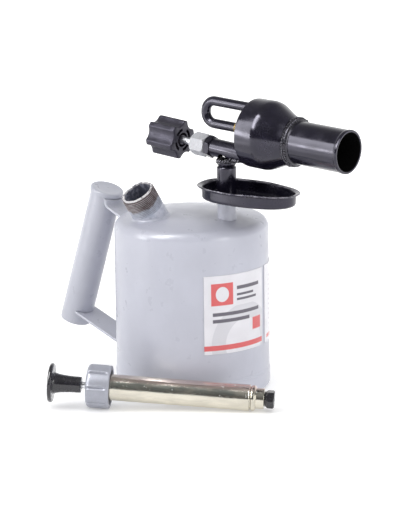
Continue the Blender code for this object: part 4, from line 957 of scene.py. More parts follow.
def build_tank(sizes, colours):
    radius, foot, sheet = sizes.tank_radius, sizes.cup_height, 0.001
    outside = tank_top(sizes)
    outside += [(radius, foot + 0.04), (radius, foot + 0.0022), (radius - 0.0001, foot + 0.0014),
                (radius - 0.0006, foot + 0.0004), (radius - 0.0008, foot - 0.001),
                (radius - 0.0008, 0.003)]
    inside = [(radius - 0.0018, 0.003), (radius - 0.0018, foot), (radius - sheet, foot + 0.003)]
    inside += reversed(tank_top(sizes, -sheet))
    shell = revolve(outside + inside, segments=192)
    bores = [rod(sizes.neck_radius - 0.002, -0.03, 0.03, NECK, 64), rod(0.0043, 0.11, 0.15, RISER)]
    shell = combine(shell, bores, "DIFFERENCE")
    show("tank_body", shell, tank_enamel(colours), "tank_shell")

    cup = radius + 0.0004
    ring = cup - 0.012
    profile = rounded((0.0, 0.0), (ring - 0.018, 0.0, 0.002), (ring - 0.0155, 0.0022, 0.002),
                      (ring - 0.0025, 0.0022, 0.002), (ring, 0.0, 0.002), (cup, 0.0, 0.004),
                      (cup, foot, 0.00035), (cup - 0.0009, foot, 0.0002),
                      (cup - 0.0009, 0.0009, 0.0031), (ring + 0.0005, 0.0009, 0.002),
                      (ring - 0.002, 0.0031, 0.002), (ring - 0.016, 0.0031, 0.002),
                      (ring - 0.0185, 0.0009, 0.002), (0.0, 0.0009), steps=7)
    show("tank_cup", revolve(profile, segments=192), tank_enamel(colours), "tank_bottom")
    seam = [(radius - 0.0009, foot - 0.0007), (radius + 0.0002, foot - 0.0003),
            (radius + 0.0002, foot + 0.0003), (radius + 0.0001, foot + 0.0016),
            (radius - 0.0005, foot + 0.0022)]
    show("seam_paint", revolve(seam, segments=192, closed=True), tank_enamel(colours),
         "tank_shell", stands_for=False)


def fillet_weld(sizes, place, radius, reach, rise, waves, segments=96):
    """An uneven fillet of weld metal where a tube meets the dome."""
    tuck = 0.0007
    around = np.arange(segments) * math.tau / segments
    matrix = np.array(place)
    turn = matrix[:3, :3]
    directions = np.stack([np.cos(around), np.sin(around), 0 * around], -1) @ turn.T
    axis = turn[:, 2]
    start = matrix[:3, 3] + directions * radius
    # where the tube's side meets the dome, found by halving
    low, high = np.full(segments, -0.015), np.full(segments, 0.03)
    for _ in range(40):
        middle = (low + high) / 2
        points = start + middle[:, None] * axis
        above = points[:, 2] > dome_height(sizes, np.hypot(points[:, 0], points[:, 1]))
        high, low = np.where(above, middle, high), np.where(above, low, middle)
    corner = start + low[:, None] * axis
    ripple = sum(size * np.sin(count * around + phase) for count, size, phase in waves)
    top = corner + axis * (rise * (1 + ripple))[:, None]
    out = corner + directions * (reach * (1 + 0.8 * np.roll(ripple, 7)))[:, None]
    out[:, 2] = dome_height(sizes, np.hypot(out[:, 0], out[:, 1]))
    rows = [top - directions * tuck]
    for share in np.linspace(0.0, 1.0, 9):
        bend = corner + directions * 0.0002 + axis * 0.0002
        rows.append(top * (1 - share) ** 2 + bend * 2 * share * (1 - share) + out * share ** 2)
    down = np.array((0.0, 0.0, tuck))
    rows += [out - down, corner - directions * tuck - down]
    return skin(np.stack(rows, axis=1), angle=50.0)


def build_socket(sizes, colours):
    base, top = dome_height(sizes, RISER_X), PAN_FLOOR - CLEARANCE
    profile = rounded((0.0043, base - 0.0018), (0.0068, base - 0.0018), (0.0068, base + 0.002),
                      (0.0066, base + 0.006), (0.00665, top, 0.0004), (0.0043, top))

    def wavy(radius, height, around):
        swell = 0.00012 * np.sin(3 * around + 400 * height) + 0.0001 * np.sin(5 * around)
        return radius + np.where(radius > 0.005, swell, 0.0), height

    tube = revolve(profile, RISER, 72, closed=True, shape=wavy)
    weld = fillet_weld(sizes, RISER, 0.0067, 0.0052, 0.0040,
                       ((2, 0.24, 0.4), (3, 0.26, 1.1), (7, 0.07, 0.3)))
    show("riser_boss", joined(tube, weld), weld_enamel(colours), "riser_socket")


# Printed films

def film_sheet(start, sweep, low, high, radius, thickness):
    """A thin sheet wrapped round the tank, charted by its shares along and up."""
    across = np.linspace(0.0, 1.0, 65)
    around = np.radians(start + sweep * across)
    levels = [(thickness, 0.0), (0.0, 0.004)] + [(0.0, up) for up in np.linspace(0.1, 0.9, 9)]
    levels += [(0.0, 0.996), (thickness, 1.0)]
    rows, charts = [], []
    for inset, up in levels:
        r = radius - inset
        rows.append(np.stack([r * np.cos(around), r * np.sin(around),
                              np.full_like(around, low + (high - low) * up)], -1))
        charts.append(np.stack([across, np.full_like(across, up)], -1))
    return skin(np.stack(rows, 1), np.stack(charts, 1), wrap=(False, True), caps=True, angle=40.0)


def build_labels(sizes, colours):
    low, high, radius, sheet = 0.0348, 0.0917, sizes.tank_radius + 0.0005, 0.0004
    front = film_sheet(-43.5, 54.5, low, high, radius, sheet)
    show("front_film", front, front_film(colours), "front_label")
    side = film_sheet(15.5, 55.0, low, high, radius, sheet)
    show("side_film", side, side_film(colours), "side_label")


# Neck

def build_neck(sizes, colours):
    radius, top = sizes.neck_radius, sizes.neck_length
    core, bore, thread_foot = radius - 0.0006, radius - 0.002, 0.0078
    profile = rounded((bore, -0.011), (radius, -0.011), (radius, 0.0066, 0.0008),
                      (core, thread_foot, 0.0008), (core, top - 0.0014, 0.0003),
                      (core + 0.0001, top - 0.0002, 0.0004), (bore + 0.0003, top + 0.0002, 0.0003),
                      (bore, top - 0.0005, 0.0002), (bore, 0.0))

    def dented(radii, height, around):
        near_top = np.clip((height - 0.0203) / 0.002, 0.0, 1.0)
        bite = 0.00022 * np.sin(5 * around + 1.0) + 0.0002 * np.sin(13 * around + 2.0)
        bite += 0.00016 * np.sin(29 * around)
        return radii + near_top * bite * 0.7, height + near_top * np.minimum(bite, 0.00015)

    tube = revolve(profile, NECK, 128, closed=True, shape=dented)
    turns = (top - thread_foot - 0.0014) / sizes.thread_pitch
    thread = grow(thread_tree(), path_mesh([(0, 0, 0)]),
                  {"Radius": core + 0.00015, "Turns": turns, "Height": turns * sizes.thread_pitch,
                   "Ridge": 0.00056, "Points per turn": 72, "Material": rusty_thread(colours)})
    thread.transform(Matrix.Translation((0, 0, thread_foot)))
    places = vertex_places(thread)
    set_chart(thread, np.stack([np.hypot(places[:, 0], places[:, 1]), places[:, 2]], -1))
    thread.transform(NECK)
    show("filler_neck", joined(tube, thread), rusty_thread(colours), "pump_neck")
    weld = fillet_weld(sizes, NECK, radius - 0.0003, 0.0032, 0.0026,
                       ((2, 0.14, 1.4), (3, 0.14, 0.1), (7, 0.06, 0.3)), 128)
    show("neck_weld", weld, weld_enamel(colours), "tank_shell", stands_for=False)


# Handle

def strap(path, width, thickness, rounding=0.0005):
    """A strap with rounded edges. Its path in the XZ plane is given for each place across it."""
    half, deep = width / 2, thickness / 2
    flat = np.linspace(half, -half, 16)[1:-1]
    section = rounded((half, deep, rounding), *[(y, deep) for y in flat], (-half, deep, rounding),
                      (-half, -deep, rounding), *[(-y, -deep) for y in flat],
                      (half, -deep, rounding), closed=True, steps=3)
    columns = []
    for aside, lift in section:
        line = np.array(path(aside))
        tangent = np.gradient(line, axis=0)
        tangent /= np.linalg.norm(tangent, axis=1)[:, None]
        x, z = (line + lift * np.stack([-tangent[:, 1], tangent[:, 0]], -1)).T
        columns.append(np.stack([x, np.full_like(x, aside), z], -1))
    return skin(np.stack(columns, 1), wrap=(False, True), caps=True)


def handle_point(along, out):
    """A point in the XZ plane, from its places along the handle and out from its axis."""
    point = HANDLE @ Vector((out, 0.0, along))
    return np.array((point.x, point.z))


def upper_strap_path(sizes, aside):
    """From under the cap round a bend onto the shoulder, cupped round the tube at its top."""
    cupped = (2 * aside / sizes.strap_width) ** 2
    out = 0.0125 - 0.0039 * cupped
    bend, fall = 0.004, math.radians(25.0)
    drop = 0.0051 - 0.0005 * cupped
    centre = handle_point(sizes.handle_length - drop, out + bend)
    spoke = handle_point(sizes.handle_length - drop, out) - centre
    path = [handle_point(sizes.handle_length - 0.0036, out)]
    first = math.atan2(spoke[1], spoke[0]) - math.tau
    for angle in np.linspace(first, -math.pi / 2 - fall, 13):
        path.append(centre + bend * np.array((math.cos(angle), math.sin(angle))))
    end = path[-1]
    for share in (0.3, 0.6, 1.0):
        reach = (-0.048 - end[0]) * share
        path.append(end + np.array((reach, -reach * math.tan(fall))))
    return path


def lower_strap_path(sizes):
    fall = math.radians(22.0)
    mouth = handle_point(0.009 / math.cos(math.radians(HANDLE_LEAN)), sizes.handle_radius)
    along = np.array((math.cos(fall), -math.sin(fall)))
    start = mouth - along * 0.0055
    reach = (-0.048 - start[0]) / along[0]
    return [start + along * reach * share for share in (0.0, 0.25, 0.5, 0.75, 1.0)]


def build_handle(sizes, colours):
    enamel = handle_enamel(colours)
    radius, top = sizes.handle_radius, sizes.handle_length
    inner = radius - 0.0014
    tube = revolve(rounded((radius, 0.0, 0.0004), (radius, top - 0.0009, 0.0002),
                           (inner, top - 0.0009, 0.0002), (inner, 0.0, 0.0004), closed=True),
                   HANDLE, 96, closed=True)
    lower_path = lower_strap_path(sizes)
    slot_path = [lower_path[0] - (lower_path[1] - lower_path[0]) * 0.02] + lower_path[1:]
    slot = strap(lambda aside: slot_path, sizes.strap_width + 2 * CLEARANCE,
                 sizes.strap_thickness + 2 * CLEARANCE)
    tube = combine(tube, [slot], "DIFFERENCE")
    show("grip_tube", tube, enamel, "handle_tube")

    skirt = radius + 0.0009
    cap = rounded((0.0, top - 0.0005), (skirt - 0.0060, top - 0.0004, 0.004),
                  (skirt - 0.0024, top + 0.0001, 0.003), (skirt, top, 0.0019),
                  (skirt, top - 0.003, 0.0002), (radius + CLEARANCE, top - 0.003, 0.0001),
                  (radius + CLEARANCE, top - 0.0012, 0.0001), (0.0, top - 0.0012), steps=7)
    show("grip_cap", revolve(cap, HANDLE, 96), enamel, "handle_cap")

    for name, path in (("upper_strap", lambda aside: upper_strap_path(sizes, aside)),
                       ("lower_strap", lambda aside: lower_path)):
        band = strap(path, sizes.strap_width, sizes.strap_thickness)
        band = combine(band, [tank_outside(sizes, 0.00012)], "DIFFERENCE")
        show(name, band, enamel, "handle_" + name)

    runs = []
    for height, reach, seed in ((0.1178, sizes.tank_radius - 0.0003, 3),
                                (0.0208, sizes.tank_radius, 5)):
        line = [(-math.sqrt(reach ** 2 - y ** 2), y, height)
                for y in np.linspace(-0.42, 0.42, 9) * sizes.strap_width]
        runs.append(weld_run(line, enamel, 0.0013, (0.0014, 0.0011, 0.0011), 0.2, 0.25, seed))
    tack = [HANDLE @ Vector((radius * math.cos(a), radius * math.sin(a), top - 0.0045))
            for a in np.radians((-52.0, -44.0, -38.0))]
    runs.append(weld_run(tack, enamel, 0.0012, (0.0014, 0.0014, 0.0009), 0.4, 0.3, 8))
    show("handle_welds", joined(*runs), weld_enamel(colours), "handle_upper_strap",
         stands_for=False)


# Priming pan

def build_pan(sizes, colours):
    rim, depth, sheet = sizes.pan_half_length, sizes.pan_depth, 0.0009
    wall = rim - 0.0033
    profile = rounded((0.0, 0.0), (wall - 0.0004, 0.0, 0.0026), (wall, depth - 0.0019, 0.0012),
                      (rim, depth - 0.0010, 0.0004), (rim, depth - 0.0002, 0.0004),
                      (rim - 0.0006, depth - 0.0001, 0.0003),
                      (wall - 0.0010, depth - 0.0011, 0.001), (wall - 0.0013, sheet, 0.0019),
                      (0.0, sheet), steps=6)
    # rows across the floor keep the egg shape smooth
    rows = [(share * profile[1][0], 0.0) for share in np.linspace(0.1, 0.9, 9)]
    back = [(share * profile[-2][0], sheet) for share in np.linspace(0.9, 0.1, 9)]
    profile = [profile[0]] + rows + profile[1:-1] + back + [profile[-1]]
    pan = revolve(profile, Matrix(), 192)
    places = vertex_places(pan)
    forward = (places[:, 0] / rim + 1) / 2
    width = sizes.pan_half_width_rear + (sizes.pan_half_width_front
                                         - sizes.pan_half_width_rear) * forward
    around = np.arctan2(places[:, 1], places[:, 0])
    fullness = 1 + 0.05 * np.sin(2 * around) ** 2
    places[:, 0] *= fullness
    places[:, 1] *= fullness * width / rim
    lip = np.clip((places[:, 2] - depth + 0.0025) / 0.0025, 0.0, 1.0)
    places[:, 2] += lip * (0.00012 * np.sin(5 * around) + 0.00008 * np.sin(9 * around) - 0.0001)
    pan.vertices.foreach_set("co", places.ravel())
    pan.transform(PAN)
    places = vertex_places(pan)
    # the pan tips down towards the camera, but stays level where the riser holds it
    free = np.clip((np.hypot(places[:, 0] - RISER_X, places[:, 1]) - 0.008) / 0.006, 0.0, 1.0)
    nearer = places[:, 0] * LEVEL_X + places[:, 1] * LEVEL_Y - 0.0335
    places[:, 2] -= nearer * math.tan(math.radians(0.9)) * free
    pan.vertices.foreach_set("co", places.ravel())
    show("pan", tidy(pan), pan_black(colours), "priming_pan")


# Riser

def build_riser(sizes, colours):
    black = burner_black(colours)
    foot, shoulder = PAN_FLOOR + 0.0012, PAN_FLOOR + 0.0228
    collar_low = COLLAR_TOP - 0.0022
    radius = sizes.riser_radius
    profile = rounded((0.0, foot), (radius, foot, 0.0006), (radius, shoulder - 0.0006, 0.0012),
                      (0.0052, shoulder + 0.0009, 0.0006), (0.0051, collar_low + 0.0005),
                      (0.0, collar_low + 0.0005))
    tube = revolve(profile, RISER, 72)
    ripple = (0.0012, 0.0009, 0.0008)
    welds = [weld_ring(RISER, reach, height, black, 0.0013, ripple, 0.3, 0.3, seed)
             for reach, height, seed in ((radius + 0.0003, foot + 0.0004, 2),
                                         (0.0057, collar_low, 4))]
    show("riser_pipe", joined(tube, *welds), black, "riser_tube")
    nut = chamfered_hexagon(0.0158 * ACROSS_FLATS, collar_low, COLLAR_TOP, RISER, 0.0008)
    show("collar_nut", nut, black, "riser_collar_nut")
    blobs = weld_ring(RISER, 0.0063, COLLAR_TOP + 0.0001, black, 0.0021,
                      (0.0016, 0.0013, 0.0012), 0.5, 0.4, 11)
    show("collar_weld", blobs, weld_black(colours), "riser_collar_nut", stands_for=False)


# Burner

def build_bell(sizes, colours):
    radius, cylinder, nose = sizes.bell_radius, 0.0135, 0.0206
    sheet, bend = 0.0012, 0.014
    weld_radius = sizes.flame_tube_radius + CLEARANCE + sheet
    shoulder = BELL_REAR + cylinder
    front = shoulder + nose + CLEARANCE
    end = np.array((weld_radius, front))
    toe = end + (0.0012, -0.0044)
    to_toe = math.hypot(toe[0] - (radius - bend), toe[1] - shoulder)
    tangent = (math.atan2(toe[1] - shoulder, toe[0] - (radius - bend))
               - math.acos(bend / to_toe))
    arc_points = arc(radius - bend, shoulder, bend, math.degrees(tangent), 0.0, 12)
    first = np.array(arc_points[0])
    slope = toe + (first - toe) * 0.5
    outside = [tuple(end * (1 - s) ** 2 + toe * 2 * s * (1 - s) + slope * s ** 2)
               for s in np.linspace(0.0, 1.0, 7)]
    outside += [tuple(slope * 0.5 + first * 0.5)] + arc_points
    for share, swell in ((0.25, 0.0), (0.5, -0.00012), (0.75, -0.00004), (0.93, -0.00022)):
        outside.append((radius + swell, shoulder - cylinder * share))
    outside += [(radius - 0.0003, BELL_REAR + 0.0003), (radius - 0.0006, BELL_REAR)]
    inside = [(radius - sheet + 0.0002, BELL_REAR), (radius - sheet, BELL_REAR + 0.0003),
              (radius - sheet, shoulder)]
    inside += [(r - sheet * math.cos(math.radians(a)), z - sheet * math.sin(math.radians(a)))
               for (r, z), a in zip(reversed(arc_points),
                                    np.linspace(0.0, math.degrees(tangent), 13))][1:]
    inside += [(toe[0] - sheet, toe[1] - 0.0004), (weld_radius - sheet, front)]

    def hammered(radii, height, around):
        pull = 0.00012 * np.sin(3 * around + 60 * height)
        return radii + pull + 0.00008 * np.sin(7 * around + 130 * height), height

    bell = revolve(outside + inside, Matrix(), 160, closed=True, shape=hammered)
    places = vertex_places(bell)
    places[:, 0] -= 0.0014 * np.clip((front - places[:, 2]) / nose, 0.0, 1.0)
    bell.vertices.foreach_set("co", places.ravel())
    bell.transform(BURNER_AXIS)
    show("bell", bell, bell_black(colours), "flame_bell")


def build_flame_tube(sizes, colours):
    radius = sizes.flame_tube_radius
    inner, rear, mouth = radius - 0.0014, 0.0591, 0.1062
    profile = rounded((radius, rear), (radius, mouth - 0.0030, 0.0006),
                      (radius + 0.00035, mouth - 0.0022, 0.0005), (radius + 0.0003, mouth, 0.0005),
                      (inner, mouth, 0.0005), (inner, rear), closed=True)
    tube = revolve(profile, BURNER_AXIS, 128, closed=True)
    piece = show("mouth_tube", tube, burner_black(colours), "flame_tube")
    piece.data.materials.append(sooty_black())
    axis, centre = BURNER_AXIS.col[2].to_3d(), BURNER_AXIS.to_translation()
    for face in piece.data.polygons:
        offset = face.center - centre
        across = offset - axis * offset.dot(axis)
        if across.length < (radius + inner) / 2 and abs(face.normal.dot(axis)) < 0.7:
            face.material_index = 1

    bead_rear = rear + CLEARANCE
    core = [(radius + 0.0001, bead_rear - 0.0004)]
    core += [(radius + 0.0003 + 0.0014 * math.sin(a), bead_rear + 0.0024 - 0.0026 * math.cos(a))
             for a in np.linspace(0.0, math.pi, 9)]
    core += [(radius + 0.0001, bead_rear + 0.0052)]
    base = revolve(core, BURNER_AXIS, 128, closed=True)
    black = weld_black(colours)
    rings = [weld_ring(BURNER_AXIS, radius + reach, bead_rear + along, black, 0.0019, ripple, slant,
                       0.18, seed, count=96)
             for along, reach, ripple, slant, seed in
             ((0.0017, 0.0011, (0.0010, 0.0019, 0.0011), 0.55, 21),
              (0.0036, 0.0009, (0.0009, 0.0016, 0.0010), -0.45, 22))]
    show("bell_weld", joined(base, *rings), black, "bell_weld_bead")


def rounded_path(corners, radii, steps=10):
    """A polyline with its inner corners drawn as arcs."""
    corners = [Vector(corner) for corner in corners]
    path = [corners[0]]
    for before, corner, after, radius in zip(corners, corners[1:], corners[2:], radii):
        back, ahead = (before - corner).normalized(), (after - corner).normalized()
        half = back.angle(ahead) / 2
        centre = corner + (back + ahead).normalized() * (radius / math.sin(half))
        start = corner + back * (radius / math.tan(half)) - centre
        end = corner + ahead * (radius / math.tan(half)) - centre
        for step in range(steps + 1):
            path.append(centre + start.slerp(end, step / steps).normalized() * radius)
    path.append(corners[-1])
    return path


def on_valve_axis(reach):
    """A point of the valve's axis, ahead of the riser, in the burner's frame."""
    return BURNER.inverted() @ (VALVE @ Vector((reach, 0.0, 0.0)))


def build_pipe(sizes, colours):
    high, low, aside = 0.0182, 0.002, 0.011
    bend = (high - low) / 2
    back = -0.01 - bend
    start, crossing = on_valve_axis(VALVE_FRONT - 0.0044 + CLEARANCE), on_valve_axis(0.0395)
    corners = [start, (crossing.x, 0, crossing.z), (crossing.x, aside, crossing.z),
               (crossing.x, aside, high), (crossing.x, 0, high), (back, 0, high), (back, 0, low),
               (0.0092, 0, low)]
    radii = (0.0052,) * 4 + (bend - 0.0003,) * 2
    path = [BURNER @ point for point in rounded_path(corners, radii)]
    pipe = grow(pipe_tree(), path_mesh(path), {"Radius": sizes.pipe_radius, "Sides": 40,
                                               "Material": burner_black(colours)})
    show("vaporiser_pipe", tidy(pipe), burner_black(colours), "vaporiser_tube")


# Valve

def build_valve(sizes, colours):
    black = burner_black(colours)
    radius = sizes.valve_radius
    tube = revolve(rounded((0.0, -0.0233), (0.005, -0.0233, 0.0004), (0.005, -0.0135),
                           (radius, -0.0130), (radius, VALVE_FRONT, 0.0005),
                           (0.0, VALVE_FRONT)), VALVE_AXIS, 72)
    collar = chamfered_hexagon(0.0164 * ACROSS_FLATS, -0.0157, -0.0107, VALVE_AXIS, 0.0009,
                               turn=30.0)
    boss_foot = COLLAR_TOP + CLEARANCE
    boss = revolve(rounded((0.0, boss_foot), (0.0062, boss_foot, 0.0005), (0.0062, 0.175),
                           (0.0, 0.175)), RISER, 64)
    under_bell = ((BELL_REAR + VALVE_FRONT) / 2, 0.0, -sizes.bell_radius + 0.003)
    foot = rod(0.004, 0.0, 0.0056, BURNER @ Matrix.Translation(under_bell))
    body = combine(tube, [collar, boss, foot], "UNION")
    show("valve_tube", body, black, "valve_body")

    spots = []
    for x, z, size, seed in ((0.0080, -0.0042, 0.0012, 31), (0.0105, -0.0046, 0.0014, 32),
                             (0.0130, -0.0042, 0.0012, 33)):
        line = [VALVE @ Vector((x + t, -0.0056, z)) for t in (0.0, 0.0012, 0.0024)]
        spots.append(weld_run(line, black, 0.0012, (size, size * 0.9, size * 0.8), 0.3, 0.25, seed))
    show("valve_weld", joined(*spots), weld_black(colours), "valve_body", stands_for=False)

    nut = chamfered_hexagon(sizes.gland_flats, -0.0282, -0.016, VALVE_AXIS, 0.0011, hole=0.0028,
                            turn=22.0)
    show("gland", nut, gland_zinc(), "gland_nut")


def build_knob(sizes, colours):
    radius, near, soft = sizes.knob_radius, -0.0391, 0.00045
    far = near - sizes.knob_length
    share = math.tau / sizes.knob_lobes
    # hollows of one radius, at one distance from the axis, leave the lobes between them
    reach, hollow = radius * 1.302, radius * 0.5236
    first_lobe, first_slot = -13.3, 31.7

    def lobed(radii, height, around):
        local = (around - math.radians(first_lobe) + share / 2) % share - share / 2
        local = share / 2 - np.abs(local)
        inside = hollow ** 2 - (reach * np.sin(local)) ** 2
        scallop = reach * np.cos(local) - np.sqrt(np.maximum(inside, 0.0))
        scallop = np.where(inside > 0, scallop, radius * 2)
        outline = -soft * np.log(np.exp(-(scallop - radius) / soft) + 1.0) + radius
        return radii * outline / radius, height

    profile = rounded((0.0, near), (radius * 0.35, near), (radius * 0.7, near),
                      (radius, near, 0.0011), (radius, near - 0.005), (radius, far + 0.005),
                      (radius, far, 0.0016), (radius * 0.6, far), (0.0, far), steps=5)
    knob = revolve(profile, Matrix(), 240, shape=lobed)
    cutters = [revolve([(0.0034, near + 0.001), (0.0052, near + 0.001), (0.0052, near - 0.004),
                        (0.0034, near - 0.004)], Matrix(), 64, closed=True)]
    slot = ((0.0063, near + 0.001), (0.0085, near + 0.001), (0.0085, near - 0.006),
            (0.0063, near - 0.006))
    for quarter in (0.0, 90.0, 180.0, 270.0):
        around = np.radians(np.linspace(-27.0, 27.0, 10) + first_slot + quarter)
        rows = [[(r * math.cos(a), r * math.sin(a), z) for r, z in slot] for a in around]
        cutters.append(skin(np.array(rows), wrap=(False, True), caps=True))
    knob = combine(knob, cutters, "DIFFERENCE")
    knob.transform(VALVE_AXIS)
    show("star_knob", knob, moulded_phenolic(colours), "control_knob")


# Pump

NUT_REAR, NUT_WALL = -0.0167, 0.0024


def build_ring_nut(sizes, colours):
    radius, inside = sizes.ring_nut_radius, sizes.neck_radius + CLEARANCE
    pitch, first_groove = math.tau / sizes.nut_grooves, 81.0
    outside = rounded((0.0027, NUT_REAR), (radius, NUT_REAR, 0.0026), (radius, -0.0026, 0.0003),
                      (radius, -0.0022), (radius, 0.0, 0.0005), (inside, 0.0, 0.0003),
                      (inside, NUT_REAR + NUT_WALL, 0.0008), (0.0027, NUT_REAR + NUT_WALL), steps=6)

    def ribbed(radii, height, around):
        local = (around - math.radians(first_groove) + pitch / 2) % pitch - pitch / 2
        local = local * radius
        valley = 0.0009 * np.clip(1 - np.abs(local) / 0.0011, 0.0, 1.0)
        lips = 0.00022 * np.exp(-((np.abs(local) - 0.0016) / 0.0005) ** 2)
        along = np.clip((-0.0022 - height) / 0.0008, 0.0, 1.0)
        outer = (radii > radius - 0.0016) & (height < -0.0012)
        return radii - np.where(outer, (valley - lips) * along, 0.0), height

    fine = []
    for before, after in zip(outside, outside[1:] + outside[:1]):
        count = int(math.dist(before, after) / 0.0016) + 1
        fine += [tuple(Vector(before).lerp(Vector(after), index / count)) for index in range(count)]
    nut = revolve(fine, PUMP_AXIS, 320, closed=True, shape=ribbed)
    show("ring_nut", nut, cast_alloy(colours), "pump_ring_nut")


def build_barrel(sizes, colours):
    radius, end = sizes.barrel_radius, 0.0983
    inner, head, flange = radius - 0.0009, NUT_REAR + NUT_WALL + CLEARANCE, 0.0118
    profile = rounded((inner, head), (flange, head, 0.0003), (flange, head + 0.0016, 0.0003),
                      (radius, head + 0.0016, 0.0002), (radius, 0.02), (radius, 0.045),
                      (radius, 0.07), (radius, end - 0.0006, 0.0002),
                      (radius + 0.0002, end - 0.0004, 0.0002), (radius + 0.00005, end, 0.0003),
                      (inner, end, 0.0002), closed=True)

    def drawn(radii, height, around):
        wave = 0.00004 * np.sin(2 * around + 90 * height)
        return radii + np.where(height > 0.0, wave, 0.0), height

    barrel = revolve(profile, PUMP_AXIS, 128, closed=True, shape=drawn)
    show("barrel", barrel, yellow_zinc(colours), "pump_barrel")

    start = end + CLEARANCE
    bead, groove, step = radius - 0.0002, radius - 0.0011, 0.0073
    profile = rounded((0.0015, end - 0.005), (0.00805, end - 0.005), (0.00805, start),
                      (groove, start, 0.0002), (groove, start + 0.0004, 0.0003),
                      (bead, start + 0.0009, 0.0008), (bead, start + 0.0031, 0.0008),
                      (groove, start + 0.0036, 0.0003), (groove, start + 0.0039, 0.0003),
                      (step, start + 0.0041, 0.0003), (step, start + 0.0098, 0.0004),
                      (0.004, start + 0.0098), (0.004, start + 0.0012), (0.0015, start + 0.0012),
                      closed=True)
    show("barrel_end", revolve(profile, PUMP_AXIS, 112, closed=True), yellow_zinc(colours),
         "check_valve_body")

    neck = start + 0.0101
    spigot = revolve(rounded((0.00125, neck - 0.0017), (0.0037, neck - 0.0017), (0.0037, neck),
                             (0.0054, neck, 0.0003), (0.0054, neck + 0.0042),
                             (0.00125, neck + 0.0042), closed=True), PUMP_AXIS, 64, closed=True)
    head = chamfered_hexagon(0.0133 * ACROSS_FLATS, neck + 0.0011, neck + 0.0068, PUMP_AXIS, 0.0009,
                             hole=0.00125)
    show("tip_nut", combine(head, [spigot], "UNION"), polished_phenolic(colours), "outlet_cap")


def build_plunger(sizes, colours):
    radius, front, rear, stem = sizes.plunger_knob_radius, -0.0209, -0.0438, 0.0056
    flare = [(0.0078, rear + 0.0034), (0.0074, rear + 0.0041), (0.0069, rear + 0.0057),
             (0.0065, rear + 0.0079), (0.0062, rear + 0.0108), (0.00585, rear + 0.0150)]
    profile = rounded((0.0, rear + 0.0004), (radius - 0.003, rear, 0.003), (radius, rear, 0.0014),
                      (radius, rear + 0.0030, 0.0014), (0.0086, rear + 0.0031, 0.0008),
                      *flare, (stem, front, 0.0006), (0.0027, front, 0.0003),
                      (0.0027, front - 0.004), (0.0, front - 0.004), steps=6)
    knob = revolve(profile, PUMP_AXIS, 112, angle=30.0)
    show("plunger_handle", knob, polished_phenolic(colours), "plunger_knob")


def build_outlet_spring(colours):
    """The outlet valve's spring: a copy of the CAD spring's mesh, in its place."""
    node = frame["nodes"]["check_valve_spring"]
    mesh = node.data.copy()
    mesh.transform(node.matrix_world)
    spring = show("outlet_spring", mesh, pale_zinc(colours), "check_valve_spring")
    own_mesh(spring)


def build_inner_parts(colours):
    dress(pale_zinc(colours), "valve_spindle", "plunger_rod", "rod_guide", "rear_piston_washer",
          "front_piston_washer", "piston_nut", "fuel_pickup_tube")
    dress(turned_brass(colours), "jet_holder", "jet_nipple")
    dress(wire_gauze(), "pickup_strainer")
    dress(vulcanised_fibre(), "gland_packing", "neck_gasket")
    dress(oiled_leather(), "cup_leather")
    dress(petrol_rubber(), "check_valve_disc")
    build_outlet_spring(colours)


# Studio

def lookers(shading):
    """One where a reflection looks, and one where the camera or a refraction does."""
    path = put(shading.tree, "ShaderNodeLightPath").outputs
    seen = shading.calculate("MAXIMUM", path["Is Camera Ray"], path["Is Transmission Ray"])
    return path["Is Glossy Ray"], seen


def build_floor(colours):
    """A pale floor that glows to white away from the lamp wherever it is looked at, with one
    brighter pool that only reflections show."""
    finish = Finish("studio floor", 0.9, specular=0.0)
    shader, spot = finish.shader.inputs, finish.coordinates["Object"]
    reflected, seen = lookers(finish)
    shown = finish.calculate("MAXIMUM", seen, reflected)
    away = put(finish.tree, "ShaderNodeVectorMath", {0: spot}, operation="LENGTH").outputs["Value"]
    from_pool = put(finish.tree, "ShaderNodeVectorMath", {0: spot, 1: (-0.34, -0.44, 0.0)},
                    operation="DISTANCE").outputs["Value"]
    pool = finish.both(reflected, finish.step(from_pool, 0.05, 0.25, 1.3, 0.0))
    glow = finish.ramp(away, 0.3, 1.6, 0.28, 0.95)
    finish.tree.links.new(finish.calculate("MULTIPLY_ADD", shown, glow, pool),
                          shader["Emission Strength"])
    shader["Emission Color"].default_value = WHITE
    shader["Base Color"].default_value = (*colours.floor, 1.0)
    body = bmesh.new()
    bmesh.ops.create_grid(body, x_segments=8, y_segments=8, size=6.0)
    mesh = bpy.data.meshes.new("studio_floor")
    body.to_mesh(mesh)
    body.free()
    mesh.transform(Matrix.Translation((0.0, 0.0, -CLEARANCE)))
    mesh.materials.append(finish.material)
    floor = bpy.data.objects.new("studio_floor", mesh)
    bpy.context.scene.collection.objects.link(floor)


def build_world():
    """White where it is seen, a sky that lights from above, and dimmer in reflections but for
    a sheet of white paper behind the lamp."""
    world = bpy.data.worlds.new("studio")
    world.use_nodes = True
    bpy.context.scene.world = world
    sky = Shading(world.node_tree)
    reflected, seen = lookers(sky)
    direction = sky.coordinates["Generated"]
    height = put(sky.tree, "ShaderNodeSeparateXYZ", {0: direction}).outputs[2]
    behind = put(sky.tree, "ShaderNodeVectorMath", {0: direction, 1: (-LEVEL_X, -LEVEL_Y, 0.0)},
                 operation="DOT_PRODUCT").outputs["Value"]
    paper = sky.both(sky.step(behind, -0.1, 0.6), sky.ramp(height, 0.35, 0.75, 1.0, 0.0))
    mirrored = sky.between(paper, sky.ramp(height, 0.0, 0.8, 0.09, 0.26), 1.0)
    lighting = sky.ramp(height, 0.0, 1.0, 0.10, 1.30)
    toned = sky.between(reflected, lighting, mirrored)
    background = sky.tree.nodes["Background"].inputs
    background["Color"].default_value = WHITE
    sky.tree.links.new(sky.between(seen, toned, 1.0), background["Strength"])


